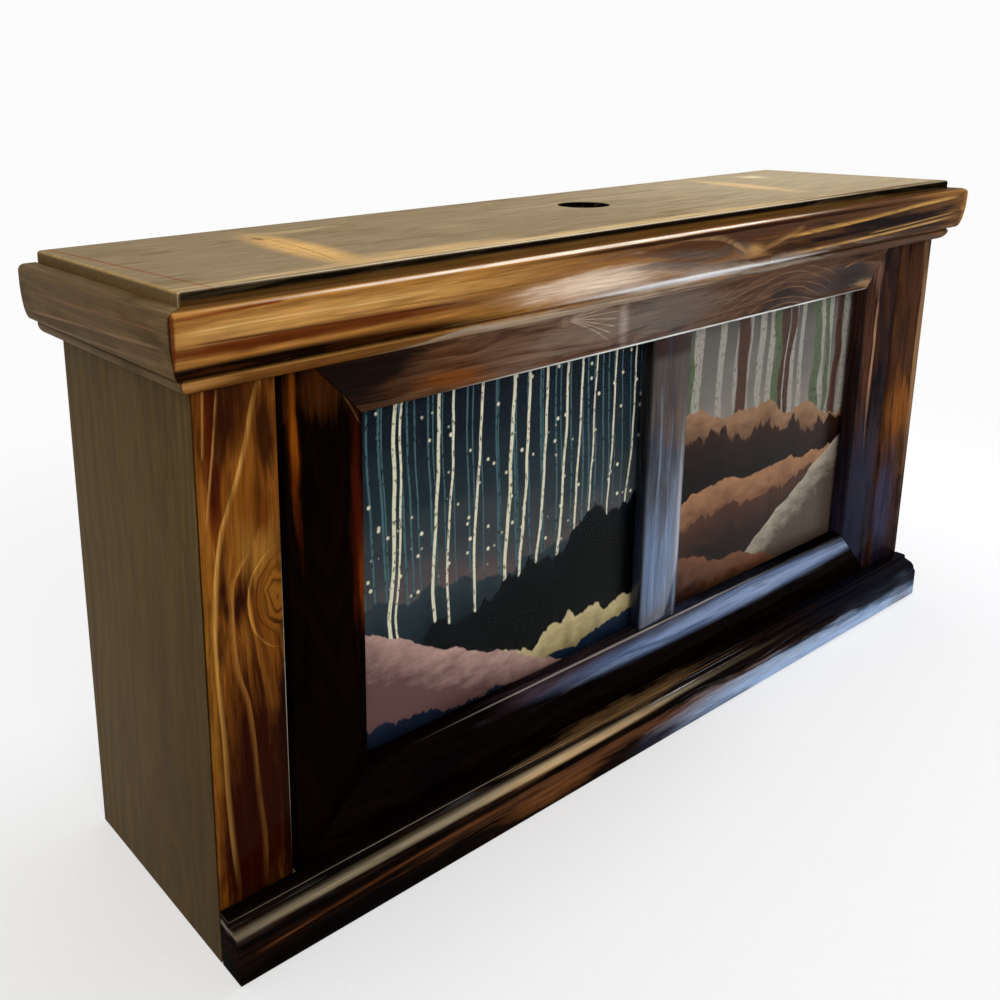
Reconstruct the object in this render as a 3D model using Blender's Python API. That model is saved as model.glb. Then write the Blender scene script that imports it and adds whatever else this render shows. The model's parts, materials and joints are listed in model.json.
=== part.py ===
"""Mantel-style wooden case with a double picture frame set into its front.

The case is a shallow box of 19 mm boards: mitred front corners, a crown moulding round the top, a base
moulding along the foot and a round drop-in hole in the top board. The picture frame stands between the
two face stiles and is carried by battens behind it. Its glass, prints and backings go in from the back,
where six turn buttons hold them. A door on two butt hinges closes the back of the case.

Metres, +Z up. The front looks along -Y. The origin is the bottom centre of the whole object's box.
"""
import math

import bmesh
import bpy
from mathutils import Matrix, Vector

# Air left between pieces that touch
GAP = 0.0003

# Case
CASE_WIDTH = 0.654
CASE_DEPTH = 0.138
CASE_HEIGHT = 0.340
BOARD = 0.019
STILE_WIDTH = 0.044
TOP_OVERHANG = 0.005
BACK_OVERHANG = 0.013
BASE_RAIL_HEIGHT = 0.0267
EDGE_ROUND = 0.0012
TOP_EDGE_ROUND = 0.0016

# Round drop-in hole in the top board: its radius, and its place from the case's middle and front
HOLE_RADIUS = 0.0165
HOLE_RIGHT = 0.0185
HOLE_BACK = 0.085

# Crown moulding: its height, how far the top board stands above it, and projections from the case's face
CROWN_HEIGHT = 0.039
TOP_PROUD = 0.006
CROWN_PROJECTION = 0.0156
CROWN_LOWER_ROUND = 0.0070
CROWN_UPPER_ROUND = 0.0034
CROWN_STRAIGHT = 0.0034
CROWN_QUIRK_DEPTH = 0.0010
CROWN_BULGE_FOOT_PROJECTION = 0.0113

# Base moulding
BASE_PROJECTION = 0.018
BASE_FLAT_HEIGHT = 0.0205
BASE_TOP = 0.0315
BASE_FILLET = 0.0014
BASE_TORUS_RADIUS = 0.0058
BASE_LIP = 0.0086
BASE_LIP_HEIGHT = 0.0026

# Picture frame
FRAME_REVEAL = 0.0035
FRAME_HEAD_GAP = 0.0085
MEMBER_WIDTH = 0.0455
MEMBER_THICKNESS = 0.019
REBATE_WIDTH = 0.006
LIP_THICKNESS = 0.0092
MULLION_WIDTH = 0.038
MULLION_RIGHT = 0.0095
MULLION_SETBACK = 0.0015

# Glass, prints and backings, with the play that each has round its edge
GLASS_THICKNESS = 0.0025
PRINT_THICKNESS = 0.0004
PANE_PLAY = 0.0005

# Turn buttons and the screws that they turn on
BUTTON_LENGTH = 0.034
BUTTON_WIDTH = 0.012
BUTTON_THICKNESS = 0.0025
BUTTON_OFFSET = 0.009
BUTTON_TO_BATTEN = 0.0047
PIVOT_SHANK_RADIUS = 0.00175
PIVOT_HEAD_RADIUS = 0.0038
PIVOT_HEAD_HEIGHT = 0.0020
PIVOT_BITE = 0.0080
PIVOT_PLAY = 0.00015

# Back door
DOOR_THICKNESS = 0.012
DOOR_SIDE_GAP = 0.0015
DOOR_BOTTOM_GAP = 0.003
DOOR_TOP_GAP = 0.0025
STOP_BATTEN_HEIGHT = 0.019

# Butt hinges
HINGE_HEIGHT = 0.038
HINGE_FROM_END = 0.055
LEAF_WIDTH = 0.016
LEAF_THICKNESS = 0.0012
KNUCKLE_RADIUS = 0.0026
KNUCKLE_PLAY = 0.0004
PIN_RADIUS = 0.0012
PIN_HEAD_RADIUS = 0.0018
PIN_HEAD_HEIGHT = 0.0008
BORE_PLAY = 0.0002
LEAF_SCREW_FROM_MIDDLE = 0.0125

# Small wood screws in the hinges, the catch, its strike plate and the knob
SCREW_SHANK_RADIUS = 0.0013
SCREW_HEAD_RADIUS = 0.0027
SCREW_HEAD_HEIGHT = 0.0013
SCREW_BITE = 0.0075

# Magnetic catch, its strike plate and the door's knob
CATCH_FROM_SIDE = 0.045
CATCH_FLANGE_LENGTH = 0.040
CATCH_FLANGE_THICKNESS = 0.0022
CATCH_BLOCK_LENGTH = 0.024
CATCH_BLOCK_HEIGHT = 0.011
CATCH_DEPTH = 0.014
STRIKE_WIDTH = 0.020
STRIKE_HEIGHT = 0.024
STRIKE_THICKNESS = 0.0012
STRIKE_ABOVE_SCREW = 0.018
KNOB_RADIUS = 0.0085
KNOB_NECK_RADIUS = 0.0045
KNOB_NECK_LENGTH = 0.0045
KNOB_HEAD_LENGTH = 0.0070
KNOB_FROM_EDGE = 0.030

# Sides of round pieces
ROUND_STEPS = 24
HOLE_STEPS = 48
CORNER_STEPS = 2
ARC_STEPS = 8

# Places that follow from the sizes above
HALF_WIDTH = CASE_WIDTH / 2
FRONT = BASE_PROJECTION - (BASE_PROJECTION + CASE_DEPTH + BACK_OVERHANG) / 2
BACK = FRONT + CASE_DEPTH
INNER_HALF = HALF_WIDTH - BOARD
FACE_BACK = FRONT + BOARD
TOP_UNDERSIDE = CASE_HEIGHT - BOARD
FRAME_HALF = HALF_WIDTH - STILE_WIDTH - FRAME_REVEAL
OPENING_HALF = FRAME_HALF - MEMBER_WIDTH
FRAME_BOTTOM = BASE_RAIL_HEIGHT + GAP
FRAME_TOP = TOP_UNDERSIDE - FRAME_HEAD_GAP
OPENING_BOTTOM = FRAME_BOTTOM + MEMBER_WIDTH
OPENING_TOP = FRAME_TOP - MEMBER_WIDTH
FRAME_BACK = FRONT + MEMBER_THICKNESS
LIP_BACK = FRONT + LIP_THICKNESS
TONGUE_HALF = MULLION_WIDTH / 2 - REBATE_WIDTH
SIDE_PIVOT = OPENING_HALF + REBATE_WIDTH + BUTTON_OFFSET
BATTEN_EDGE = SIDE_PIVOT + BUTTON_LENGTH / 2 + BUTTON_TO_BATTEN
CROWN_TOP = CASE_HEIGHT - TOP_PROUD
CROWN_BOTTOM = CROWN_TOP - CROWN_HEIGHT
DOOR_FRONT = BACK - DOOR_THICKNESS
DOOR_HALF = INNER_HALF - DOOR_SIDE_GAP
DOOR_TOP = TOP_UNDERSIDE - DOOR_TOP_GAP
STOP_BACK = DOOR_FRONT - GAP
HINGE_X = INNER_HALF - DOOR_SIDE_GAP / 2
HINGE_Y = BACK + GAP + KNUCKLE_RADIUS
MITRE_SHIFT = GAP / math.sqrt(2)

# Holes still to be drilled, by the piece that they go into
holes = {}


def new_finish(name, colour, roughness, metallic=0.0, alpha=1.0):
    """A Principled material in one colour, given as sRGB 0-255."""
    material = bpy.data.materials.new(name)
    material.use_nodes = True
    shader = material.node_tree.nodes["Principled BSDF"]
    linear = [((c / 255 + 0.055) / 1.055) ** 2.4 if c > 10 else c / 255 / 12.92 for c in colour]
    shader.inputs["Base Color"].default_value = (*linear, 1.0)
    shader.inputs["Roughness"].default_value = roughness
    shader.inputs["Metallic"].default_value = metallic
    shader.inputs["Alpha"].default_value = alpha
    material.diffuse_color = (*linear, alpha)
    return material


def make_piece(name, bm, finish, round_piece=False, origin=None):
    """Links a bmesh as one object whose origin is its middle, or the point given."""
    bmesh.ops.recalc_face_normals(bm, faces=bm.faces)
    corners = [v.co for v in bm.verts]
    low = Vector([min(c[i] for c in corners) for i in range(3)])
    high = Vector([max(c[i] for c in corners) for i in range(3)])
    centre = (low + high) / 2 if origin is None else Vector(origin)
    bmesh.ops.translate(bm, vec=-centre, verts=bm.verts)
    mesh = bpy.data.meshes.new(name)
    bm.to_mesh(mesh)
    bm.free()
    mesh.materials.append(finish)
    if round_piece:
        mesh.shade_smooth()
        mesh.set_sharp_from_angle(angle=math.radians(35))
    piece = bpy.data.objects.new(name, mesh)
    piece.location = centre
    bpy.context.scene.collection.objects.link(piece)
    return piece


def cut_out(piece, other):
    """Cuts the other object out of a piece and removes it."""
    modifier = piece.modifiers.new("Cut", "BOOLEAN")
    modifier.operation = "DIFFERENCE"
    modifier.solver = "EXACT"
    modifier.object = other
    bpy.context.view_layer.update()
    evaluated = piece.evaluated_get(bpy.context.evaluated_depsgraph_get())
    old = piece.data
    finish = old.materials[0]
    mesh = bpy.data.meshes.new_from_object(evaluated)
    piece.modifiers.clear()
    piece.data = mesh
    mesh.materials.clear()
    mesh.materials.append(finish)
    mesh.polygons.foreach_set("material_index", [0] * len(mesh.polygons))
    bpy.data.meshes.remove(old)
    mesh.name = piece.name
    bpy.data.objects.remove(other)


def round_corners(points, radii, steps=CORNER_STEPS):
    """An outline with an arc at each corner whose radius isn't nought."""
    outline = []
    for i, (point, radius) in enumerate(zip(points, radii)):
        corner = Vector(point)
        if radius <= 0:
            outline.append(corner)
            continue
        before = (Vector(points[i - 1]) - corner).normalized()
        after = (Vector(points[(i + 1) % len(points)]) - corner).normalized()
        half_angle = before.angle(after) / 2
        centre = corner + (before + after).normalized() * (radius / math.sin(half_angle))
        start = corner + before * (radius / math.tan(half_angle)) - centre
        end = corner + after * (radius / math.tan(half_angle)) - centre
        turn = start.angle_signed(end)
        for step in range(steps + 1):
            outline.append(centre + Matrix.Rotation(-turn * step / steps, 2) @ start)
    return [tuple(p) for p in outline]


def arc(centre, radius, start, end, steps=ARC_STEPS):
    """Points on an arc, both ends included, angles in degrees."""
    angles = [math.radians(start + (end - start) * i / steps) for i in range(steps + 1)]
    return [(centre[0] + radius * math.cos(a), centre[1] + radius * math.sin(a)) for a in angles]


def prism(outline, axis, low, high):
    """A bmesh of an outline drawn square to an axis and extruded along it from low to high."""
    bm = bmesh.new()
    for_axis = {
        "X": lambda u, v: (low, u, v),
        "Y": lambda u, v: (u, low, v),
        "Z": lambda u, v: (u, v, low),
    }
    face = bm.faces.new([bm.verts.new(for_axis[axis](u, v)) for u, v in outline])
    run = bmesh.ops.extrude_face_region(bm, geom=[face])
    moved = [g for g in run["geom"] if isinstance(g, bmesh.types.BMVert)]
    step = Vector([high - low if name == axis else 0 for name in "XYZ"])
    bmesh.ops.translate(bm, vec=step, verts=moved)
    return bm


def rectangle(u0, u1, v0, v1):
    return [(u0, v0), (u1, v0), (u1, v1), (u0, v1)]


def box(low, high, rounding=0.0, steps=CORNER_STEPS):
    """A bmesh of a box between two corners, with its edges rounded."""
    bm = prism(rectangle(low[0], high[0], low[1], high[1]), "Z", low[2], high[2])
    if rounding > 0:
        bmesh.ops.bevel(bm, geom=bm.edges[:], offset=rounding, offset_type="OFFSET", affect="EDGES",
                        segments=steps, profile=0.5, material=-1)
    return bm


def cut_end(bm, corner, outwards):
    """Cuts a prism off square to the direction given, half a gap short of a point, and caps it."""
    normal = Vector(outwards).normalized()
    point = Vector(corner) - normal * (GAP / 2)
    geometry = bm.verts[:] + bm.edges[:] + bm.faces[:]
    bmesh.ops.bisect_plane(bm, geom=geometry, plane_co=point, plane_no=normal, clear_outer=True)
    rim = [e for e in bm.edges if e.is_boundary]
    bmesh.ops.contextual_create(bm, geom=rim)


def turned(profile, axis_point, axis, steps=ROUND_STEPS):
    """A bmesh of a profile of (radius, height) points turned about an axis through a point."""
    bm = bmesh.new()
    verts = [bm.verts.new((radius, 0, height)) for radius, height in profile]
    edges = [bm.edges.new(pair) for pair in zip(verts, verts[1:])]
    bmesh.ops.spin(bm, geom=verts + edges, cent=(0, 0, 0), axis=(0, 0, 1), angle=2 * math.pi,
                   steps=steps, use_merge=True)
    bmesh.ops.remove_doubles(bm, verts=bm.verts[:], dist=1e-6)
    # The fans of triangles on flat ends become one face each
    bm.normal_update()
    bmesh.ops.dissolve_limit(bm, angle_limit=math.radians(0.1), verts=bm.verts[:], edges=bm.edges[:])
    turn = Vector((0, 0, 1)).rotation_difference(Vector(axis)).to_matrix().to_4x4()
    bmesh.ops.transform(bm, matrix=Matrix.Translation(axis_point) @ turn, verts=bm.verts)
    return bm


def drill(piece, point, direction, radius, depth, steps=ROUND_STEPS):
    """Notes a hole to be drilled from a point on a piece's surface. The drill starts a little outside."""
    start = Vector(point) - Vector(direction).normalized() * GAP * 4
    profile = [(0, 0), (radius, 0), (radius, depth + GAP * 4), (0, depth + GAP * 4)]
    holes.setdefault(piece.name, []).append(turned(profile, start, direction, steps))


def drill_all():
    """Cuts the holes noted for each piece, all of a piece's holes in one cut."""
    for name, drills in holes.items():
        piece = bpy.data.objects[name]
        together = bmesh.new()
        for one in drills:
            mesh = bpy.data.meshes.new("drill")
            one.to_mesh(mesh)
            one.free()
            together.from_mesh(mesh)
            bpy.data.meshes.remove(mesh)
        cut_out(piece, make_piece("drills", together, piece.data.materials[0]))
    holes.clear()


def wood_screw(name, seat, direction, finish, shank_radius, head_radius, head_height, length):
    """A round-head screw. The head's underside is at the seat and the shank runs along the direction."""
    crown = head_radius * 0.55
    tip = shank_radius * 1.6
    profile = [(0, -head_height), (crown, -head_height), (head_radius, -head_height * 0.45),
               (head_radius, 0), (shank_radius, 0), (shank_radius, length - tip), (0, length)]
    return make_piece(name, turned(profile, seat, direction), finish, round_piece=True, origin=seat)


def fixing_screw(name, surface, plate, direction, finish, wood):
    """A small screw through a plate into wood, with its pilot hole drilled in the wood.

    surface is the point where its axis enters the wood, plate the thickness of what it holds down.
    """
    inwards = Vector(direction).normalized()
    seat = Vector(surface) - inwards * (plate + 2 * GAP)
    length = plate + 2 * GAP + SCREW_BITE
    drill(wood, surface, inwards, SCREW_SHANK_RADIUS + GAP, SCREW_BITE + 2 * GAP, steps=16)
    return wood_screw(name, seat, inwards, finish, SCREW_SHANK_RADIUS, SCREW_HEAD_RADIUS,
                      SCREW_HEAD_HEIGHT, length)


def make_sides(finish):
    """Side panels, mitred to the face stiles along the front corners."""
    sides = {}
    for side, sign in (("left", -1), ("right", 1)):
        outline = [(sign * HALF_WIDTH, FRONT + MITRE_SHIFT), (sign * HALF_WIDTH, BACK),
                   (sign * INNER_HALF, BACK), (sign * INNER_HALF, FACE_BACK + MITRE_SHIFT)]
        outline = round_corners(outline, [0, EDGE_ROUND, EDGE_ROUND, 0])
        bm = prism(outline, "Z", 0, TOP_UNDERSIDE - GAP)
        sides[side] = make_piece(f"{side}_side_panel", bm, finish)
    return sides


def make_face(finish):
    """Face stiles at the front corners, and the rail between their feet that backs the base moulding."""
    for side, sign in (("left", -1), ("right", 1)):
        inner = HALF_WIDTH - STILE_WIDTH
        outline = [(sign * (HALF_WIDTH - MITRE_SHIFT), FRONT), (sign * inner, FRONT),
                   (sign * inner, FACE_BACK), (sign * (INNER_HALF - MITRE_SHIFT), FACE_BACK)]
        outline = round_corners(outline, [0, EDGE_ROUND, 0, 0])
        make_piece(f"{side}_face_stile", prism(outline, "Z", 0, TOP_UNDERSIDE - GAP), finish)
    rail_half = HALF_WIDTH - STILE_WIDTH - GAP
    rail = box((-rail_half, FRONT, 0), (rail_half, FACE_BACK, BASE_RAIL_HEIGHT))
    make_piece("base_face_rail", rail, finish)


def make_inside_boards(finish):
    """Bottom board, the battens that carry the frame, and the batten that the door closes against."""
    inner = INNER_HALF - GAP
    bottom = box((-inner, FACE_BACK + GAP, BASE_RAIL_HEIGHT - BOARD), (inner, STOP_BACK, BASE_RAIL_HEIGHT))
    make_piece("bottom_board", bottom, finish)
    for side, sign in (("left", -1), ("right", 1)):
        reach = sorted((sign * inner, sign * BATTEN_EDGE))
        low = (reach[0], FACE_BACK + GAP, BASE_RAIL_HEIGHT + GAP)
        high = (reach[1], FACE_BACK + GAP + BOARD, TOP_UNDERSIDE - GAP)
        make_piece(f"{side}_batten", box(low, high), finish)
    low = (-inner, STOP_BACK - BOARD, TOP_UNDERSIDE - GAP - STOP_BATTEN_HEIGHT)
    return make_piece("stop_batten", box(low, (inner, STOP_BACK, TOP_UNDERSIDE - GAP)), finish)


def make_top(finish):
    """Top board with its drop-in hole."""
    reach = HALF_WIDTH + TOP_OVERHANG
    low = (-reach, FRONT - TOP_OVERHANG, TOP_UNDERSIDE)
    high = (reach, BACK + BACK_OVERHANG, CASE_HEIGHT)
    top = make_piece("top_board", box(low, high, TOP_EDGE_ROUND), finish)
    centre = (HOLE_RIGHT, FRONT + HOLE_BACK, CASE_HEIGHT)
    drill(top, centre, (0, 0, -1), HOLE_RADIUS, BOARD + 4 * GAP, HOLE_STEPS)


def crown_outline():
    """Crown section as (projection, height): ovolo foot, quirk, bulge, and a step over the top board."""
    ovolo_top = CROWN_BOTTOM + CROWN_LOWER_ROUND
    ovolo = arc((GAP * 3, ovolo_top), CROWN_LOWER_ROUND, -90, 0)
    quirk = GAP * 3 + CROWN_LOWER_ROUND - CROWN_QUIRK_DEPTH
    bulge_foot = ovolo_top + CROWN_QUIRK_DEPTH * 2.5
    shoulder = CROWN_TOP - CROWN_UPPER_ROUND
    swell = CROWN_PROJECTION - CROWN_BULGE_FOOT_PROJECTION
    rise = shoulder - CROWN_STRAIGHT - bulge_foot
    belly = [(CROWN_BULGE_FOOT_PROJECTION + swell * math.sin(t), bulge_foot + rise * (1 - math.cos(t)))
             for t in [math.pi / 2 * i / ARC_STEPS for i in range(ARC_STEPS + 1)]]
    top_round = arc((CROWN_PROJECTION - CROWN_UPPER_ROUND, shoulder), CROWN_UPPER_ROUND, 0, 90)
    over_board = TOP_OVERHANG + GAP
    return ([(GAP, CROWN_BOTTOM)] + ovolo
            + [(quirk, ovolo_top + CROWN_QUIRK_DEPTH / 2), (quirk, bulge_foot - CROWN_QUIRK_DEPTH)]
            + belly + top_round
            + [(over_board, CROWN_TOP), (over_board, TOP_UNDERSIDE - GAP), (GAP, TOP_UNDERSIDE - GAP)])


def make_crown(finish):
    """Crown moulding: the front run and the two returns, mitred at the front corners."""
    outline = crown_outline()
    reach = HALF_WIDTH + CROWN_PROJECTION
    front = prism([(FRONT - c, z) for c, z in outline], "X", -reach, reach)
    for sign in (-1, 1):
        cut_end(front, (sign * HALF_WIDTH, FRONT, 0), (sign, 1, 0))
    make_piece("crown_front", front, finish)
    for side, sign in (("left", -1), ("right", 1)):
        section = [(sign * (HALF_WIDTH + c), z) for c, z in outline]
        bm = prism(section, "Y", FRONT - CROWN_PROJECTION, BACK + BACK_OVERHANG)
        cut_end(bm, (sign * HALF_WIDTH, FRONT, 0), (-sign, -1, 0))
        make_piece(f"crown_{side}_return", bm, finish)


def base_outline():
    """Base moulding section as (projection, height): flat, fillet, torus, cove and a rounded lip."""
    torus_foot = BASE_FLAT_HEIGHT + BASE_FILLET
    torus_centre = (BASE_PROJECTION - BASE_FILLET - BASE_TORUS_RADIUS, torus_foot)
    torus = arc(torus_centre, BASE_TORUS_RADIUS, 0, 80)
    lip_foot = BASE_TOP - BASE_LIP_HEIGHT
    cove = [(BASE_LIP + BASE_FILLET, lip_foot - BASE_FILLET / 2), (BASE_LIP, lip_foot)]
    lip_radius = BASE_LIP_HEIGHT / 2
    lip = arc((BASE_LIP - lip_radius, BASE_TOP - lip_radius), lip_radius, 0, 90, 4)
    return ([(GAP, 0), (BASE_PROJECTION, 0), (BASE_PROJECTION, BASE_FLAT_HEIGHT)] + torus + cove + lip
            + [(GAP, BASE_TOP)])


def make_base_moulding(finish):
    """Base moulding along the front, cut off flush with the case's sides."""
    section = [(FRONT - c, z) for c, z in base_outline()]
    make_piece("base_moulding", prism(section, "X", -HALF_WIDTH, HALF_WIDTH), finish)


def member_section(outer, opening):
    """Frame member section as (distance, depth), rebated behind its opening edge."""
    inwards = math.copysign(1, opening - outer)
    rebate = opening - inwards * REBATE_WIDTH
    points = [(outer, FRONT), (opening, FRONT), (opening, LIP_BACK), (rebate, LIP_BACK),
              (rebate, FRAME_BACK), (outer, FRAME_BACK)]
    return round_corners(points, [EDGE_ROUND, EDGE_ROUND, 0, 0, 0, 0])


def make_frame_members(finish):
    """The four mitred, rebated members of the picture frame."""
    members = {}
    rails = (("top_rail", FRAME_TOP, OPENING_TOP, 1), ("bottom_rail", FRAME_BOTTOM, OPENING_BOTTOM, -1))
    for name, outer, opening, up in rails:
        section = [(y, z) for z, y in member_section(outer, opening)]
        bm = prism(section, "X", -FRAME_HALF, FRAME_HALF)
        for sign in (-1, 1):
            cut_end(bm, (sign * FRAME_HALF, FRONT, outer), (sign, 0, -up))
        members[name] = make_piece(f"frame_{name}", bm, finish)
    for side, sign in (("left", -1), ("right", 1)):
        bm = prism(member_section(sign * FRAME_HALF, sign * OPENING_HALF), "Z", FRAME_BOTTOM, FRAME_TOP)
        for up, outer in ((1, FRAME_TOP), (-1, FRAME_BOTTOM)):
            cut_end(bm, (sign * FRAME_HALF, FRONT, outer), (-sign, 0, up))
        members[f"{side}_stile"] = make_piece(f"frame_{side}_stile", bm, finish)
    return members


def make_mullion(finish):
    """The bar between the two openings: a face between the rails, on a tongue housed in their rebates."""
    face = MULLION_WIDTH / 2
    front = FRONT + MULLION_SETBACK
    section = [(MULLION_RIGHT - face, front), (MULLION_RIGHT + face, front),
               (MULLION_RIGHT + face, LIP_BACK), (MULLION_RIGHT + TONGUE_HALF, LIP_BACK),
               (MULLION_RIGHT + TONGUE_HALF, FRAME_BACK), (MULLION_RIGHT - TONGUE_HALF, FRAME_BACK),
               (MULLION_RIGHT - TONGUE_HALF, LIP_BACK), (MULLION_RIGHT - face, LIP_BACK)]
    section = round_corners(section, [EDGE_ROUND, EDGE_ROUND, 0, 0, 0, 0, 0, 0])
    low = OPENING_BOTTOM - REBATE_WIDTH + GAP
    high = OPENING_TOP + REBATE_WIDTH - GAP
    mullion = make_piece("mullion", prism(section, "Z", low, high), finish)
    for end, inner in ((low - BOARD, OPENING_BOTTOM + GAP), (high + BOARD, OPENING_TOP - GAP)):
        notch = box((MULLION_RIGHT - MULLION_WIDTH, FRONT - BOARD, min(end, inner)),
                    (MULLION_RIGHT + MULLION_WIDTH, LIP_BACK + GAP, max(end, inner)))
        cut_out(mullion, make_piece("notch", notch, finish))


def pane_edges(side):
    """Left and right edges of one opening's rebate, less the play round a pane."""
    if side == "left":
        return -OPENING_HALF - REBATE_WIDTH + PANE_PLAY, MULLION_RIGHT - TONGUE_HALF - PANE_PLAY
    return MULLION_RIGHT + TONGUE_HALF + PANE_PLAY, OPENING_HALF + REBATE_WIDTH - PANE_PLAY


def make_panes(glass, paper, hardboard):
    """Glass, print and backing in each opening, in that order from the front."""
    low_z = OPENING_BOTTOM - REBATE_WIDTH + PANE_PLAY
    high_z = OPENING_TOP + REBATE_WIDTH - PANE_PLAY
    glass_front = LIP_BACK + GAP
    print_front = glass_front + GLASS_THICKNESS + GAP
    backing_front = print_front + PRINT_THICKNESS + GAP
    layers = (("glass", glass_front, glass_front + GLASS_THICKNESS, glass),
              ("print", print_front, print_front + PRINT_THICKNESS, paper),
              ("backing", backing_front, FRAME_BACK, hardboard))
    for side in ("left", "right"):
        x0, x1 = pane_edges(side)
        for name, front, back, finish in layers:
            make_piece(f"{side}_{name}", box((x0, front, low_z), (x1, back, high_z)), finish)


def make_turn_button(name, member, point, along, finish, screw_finish):
    """A turn button on its screw. It lies along the direction given, and turns about Y on the screw."""
    centre = Vector(point)
    half = BUTTON_LENGTH / 2 - BUTTON_WIDTH / 2
    ends = arc((half, 0), BUTTON_WIDTH / 2, -90, 90) + arc((-half, 0), BUTTON_WIDTH / 2, 90, 270)
    if along == "Z":
        ends = [(v, u) for u, v in ends]
    outline = [(centre.x + u, centre.z + v) for u, v in ends]
    front = FRAME_BACK + GAP
    bm = prism(outline, "Y", front, front + BUTTON_THICKNESS)
    axis_point = (centre.x, front, centre.z)
    button = make_piece(name, bm, finish, origin=axis_point)
    drill(button, axis_point, (0, 1, 0), PIVOT_SHANK_RADIUS + PIVOT_PLAY, BUTTON_THICKNESS + 4 * GAP)
    seat = (centre.x, front + BUTTON_THICKNESS + GAP, centre.z)
    length = GAP + BUTTON_THICKNESS + GAP + PIVOT_BITE
    drill(member, (centre.x, FRAME_BACK, centre.z), (0, -1, 0), PIVOT_SHANK_RADIUS + GAP, PIVOT_BITE + GAP)
    wood_screw(f"{name}_screw", seat, (0, -1, 0), screw_finish, PIVOT_SHANK_RADIUS, PIVOT_HEAD_RADIUS,
               PIVOT_HEAD_HEIGHT, length)


def make_turn_buttons(members, finish, screw_finish):
    """Three turn buttons for each backing: above, below and at its outer edge."""
    middle = (OPENING_BOTTOM + OPENING_TOP) / 2
    above = OPENING_TOP + REBATE_WIDTH + BUTTON_OFFSET
    below = OPENING_BOTTOM - REBATE_WIDTH - BUTTON_OFFSET
    for side, sign in (("left", -1), ("right", 1)):
        x0, x1 = pane_edges(side)
        centre = (x0 + x1) / 2
        places = (("top", members["top_rail"], (centre, 0, above), "Z"),
                  ("bottom", members["bottom_rail"], (centre, 0, below), "Z"),
                  ("side", members[f"{side}_stile"], (sign * SIDE_PIVOT, 0, middle), "X"))
        for place, member, point, along in places:
            make_turn_button(f"{side}_{place}_button", member, point, along, finish, screw_finish)


def make_door(finish):
    """Back door, inset between the side panels, closing on the bottom board and the stop batten."""
    low = (-DOOR_HALF, DOOR_FRONT, DOOR_BOTTOM_GAP)
    return make_piece("back_door", box(low, (DOOR_HALF, BACK, DOOR_TOP), EDGE_ROUND),
                      finish, origin=(HINGE_X, HINGE_Y, (DOOR_BOTTOM_GAP + DOOR_TOP) / 2))


def leaf_outline(sign):
    """Section of a hinge leaf: a plate whose inner edge is rolled into a knuckle round the pin."""
    rise = LEAF_THICKNESS - KNUCKLE_RADIUS
    start = math.degrees(math.atan2(rise, math.sqrt(KNUCKLE_RADIUS ** 2 - rise ** 2)))
    knuckle = arc((0, 0), KNUCKLE_RADIUS, start, 270, ROUND_STEPS - 4)
    section = knuckle + [(LEAF_WIDTH, -KNUCKLE_RADIUS), (LEAF_WIDTH, rise)]
    return [(HINGE_X + sign * u, HINGE_Y + v) for u, v in section]


def make_leaf(name, sign, middle, zones, finish):
    """One hinge leaf. zones are the heights from its middle where the other leaf's knuckles sit."""
    half = HINGE_HEIGHT / 2
    leaf = make_piece(name, prism(leaf_outline(sign), "Z", middle - half, middle + half), finish,
                      origin=(HINGE_X, HINGE_Y, middle))
    clear = KNUCKLE_RADIUS + KNUCKLE_PLAY
    for low, high in zones:
        notch = box((HINGE_X - clear, HINGE_Y - KNUCKLE_RADIUS * 2, middle + low),
                    (HINGE_X + clear, HINGE_Y + KNUCKLE_RADIUS * 2, middle + high))
        cut_out(leaf, make_piece("notch", notch, finish))
    drill(leaf, (HINGE_X, HINGE_Y, middle - half), (0, 0, 1), PIN_RADIUS + BORE_PLAY, HINGE_HEIGHT + 4 * GAP)
    return leaf


def make_hinge(place, middle, side_panel, door, brass, steel):
    """A butt hinge laid on the outside: one leaf on the side panel's edge, one on the door."""
    half = HINGE_HEIGHT / 2
    sixth = HINGE_HEIGHT / 6
    over = half + sixth
    case_zones = [(-sixth - KNUCKLE_PLAY / 2, sixth + KNUCKLE_PLAY / 2)]
    door_zones = [(-over, -sixth + KNUCKLE_PLAY / 2), (sixth - KNUCKLE_PLAY / 2, over)]
    leaves = (("case_leaf", 1, case_zones, side_panel), ("door_leaf", -1, door_zones, door))
    for kind, sign, zones, wood in leaves:
        leaf = make_leaf(f"{place}_hinge_{kind}", sign, middle, zones, brass)
        across = HINGE_X + sign * (KNUCKLE_RADIUS + LEAF_WIDTH) / 2
        for end, shift in (("lower", -LEAF_SCREW_FROM_MIDDLE), ("upper", LEAF_SCREW_FROM_MIDDLE)):
            height = middle + shift
            outside = (across, BACK + GAP + LEAF_THICKNESS, height)
            drill(leaf, outside, (0, -1, 0), SCREW_SHANK_RADIUS + GAP, LEAF_THICKNESS + 4 * GAP, steps=16)
            fixing_screw(f"{place}_{kind}_{end}_screw", (across, BACK, height), LEAF_THICKNESS, (0, -1, 0),
                         steel, wood)
    top = half + GAP
    profile = [(0, -half), (PIN_RADIUS, -half), (PIN_RADIUS, top), (PIN_HEAD_RADIUS, top),
               (PIN_HEAD_RADIUS, top + PIN_HEAD_HEIGHT), (0, top + PIN_HEAD_HEIGHT)]
    make_piece(f"{place}_hinge_pin", turned(profile, (HINGE_X, HINGE_Y, middle), (0, 0, 1)), steel,
               round_piece=True, origin=(HINGE_X, HINGE_Y, middle))


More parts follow.
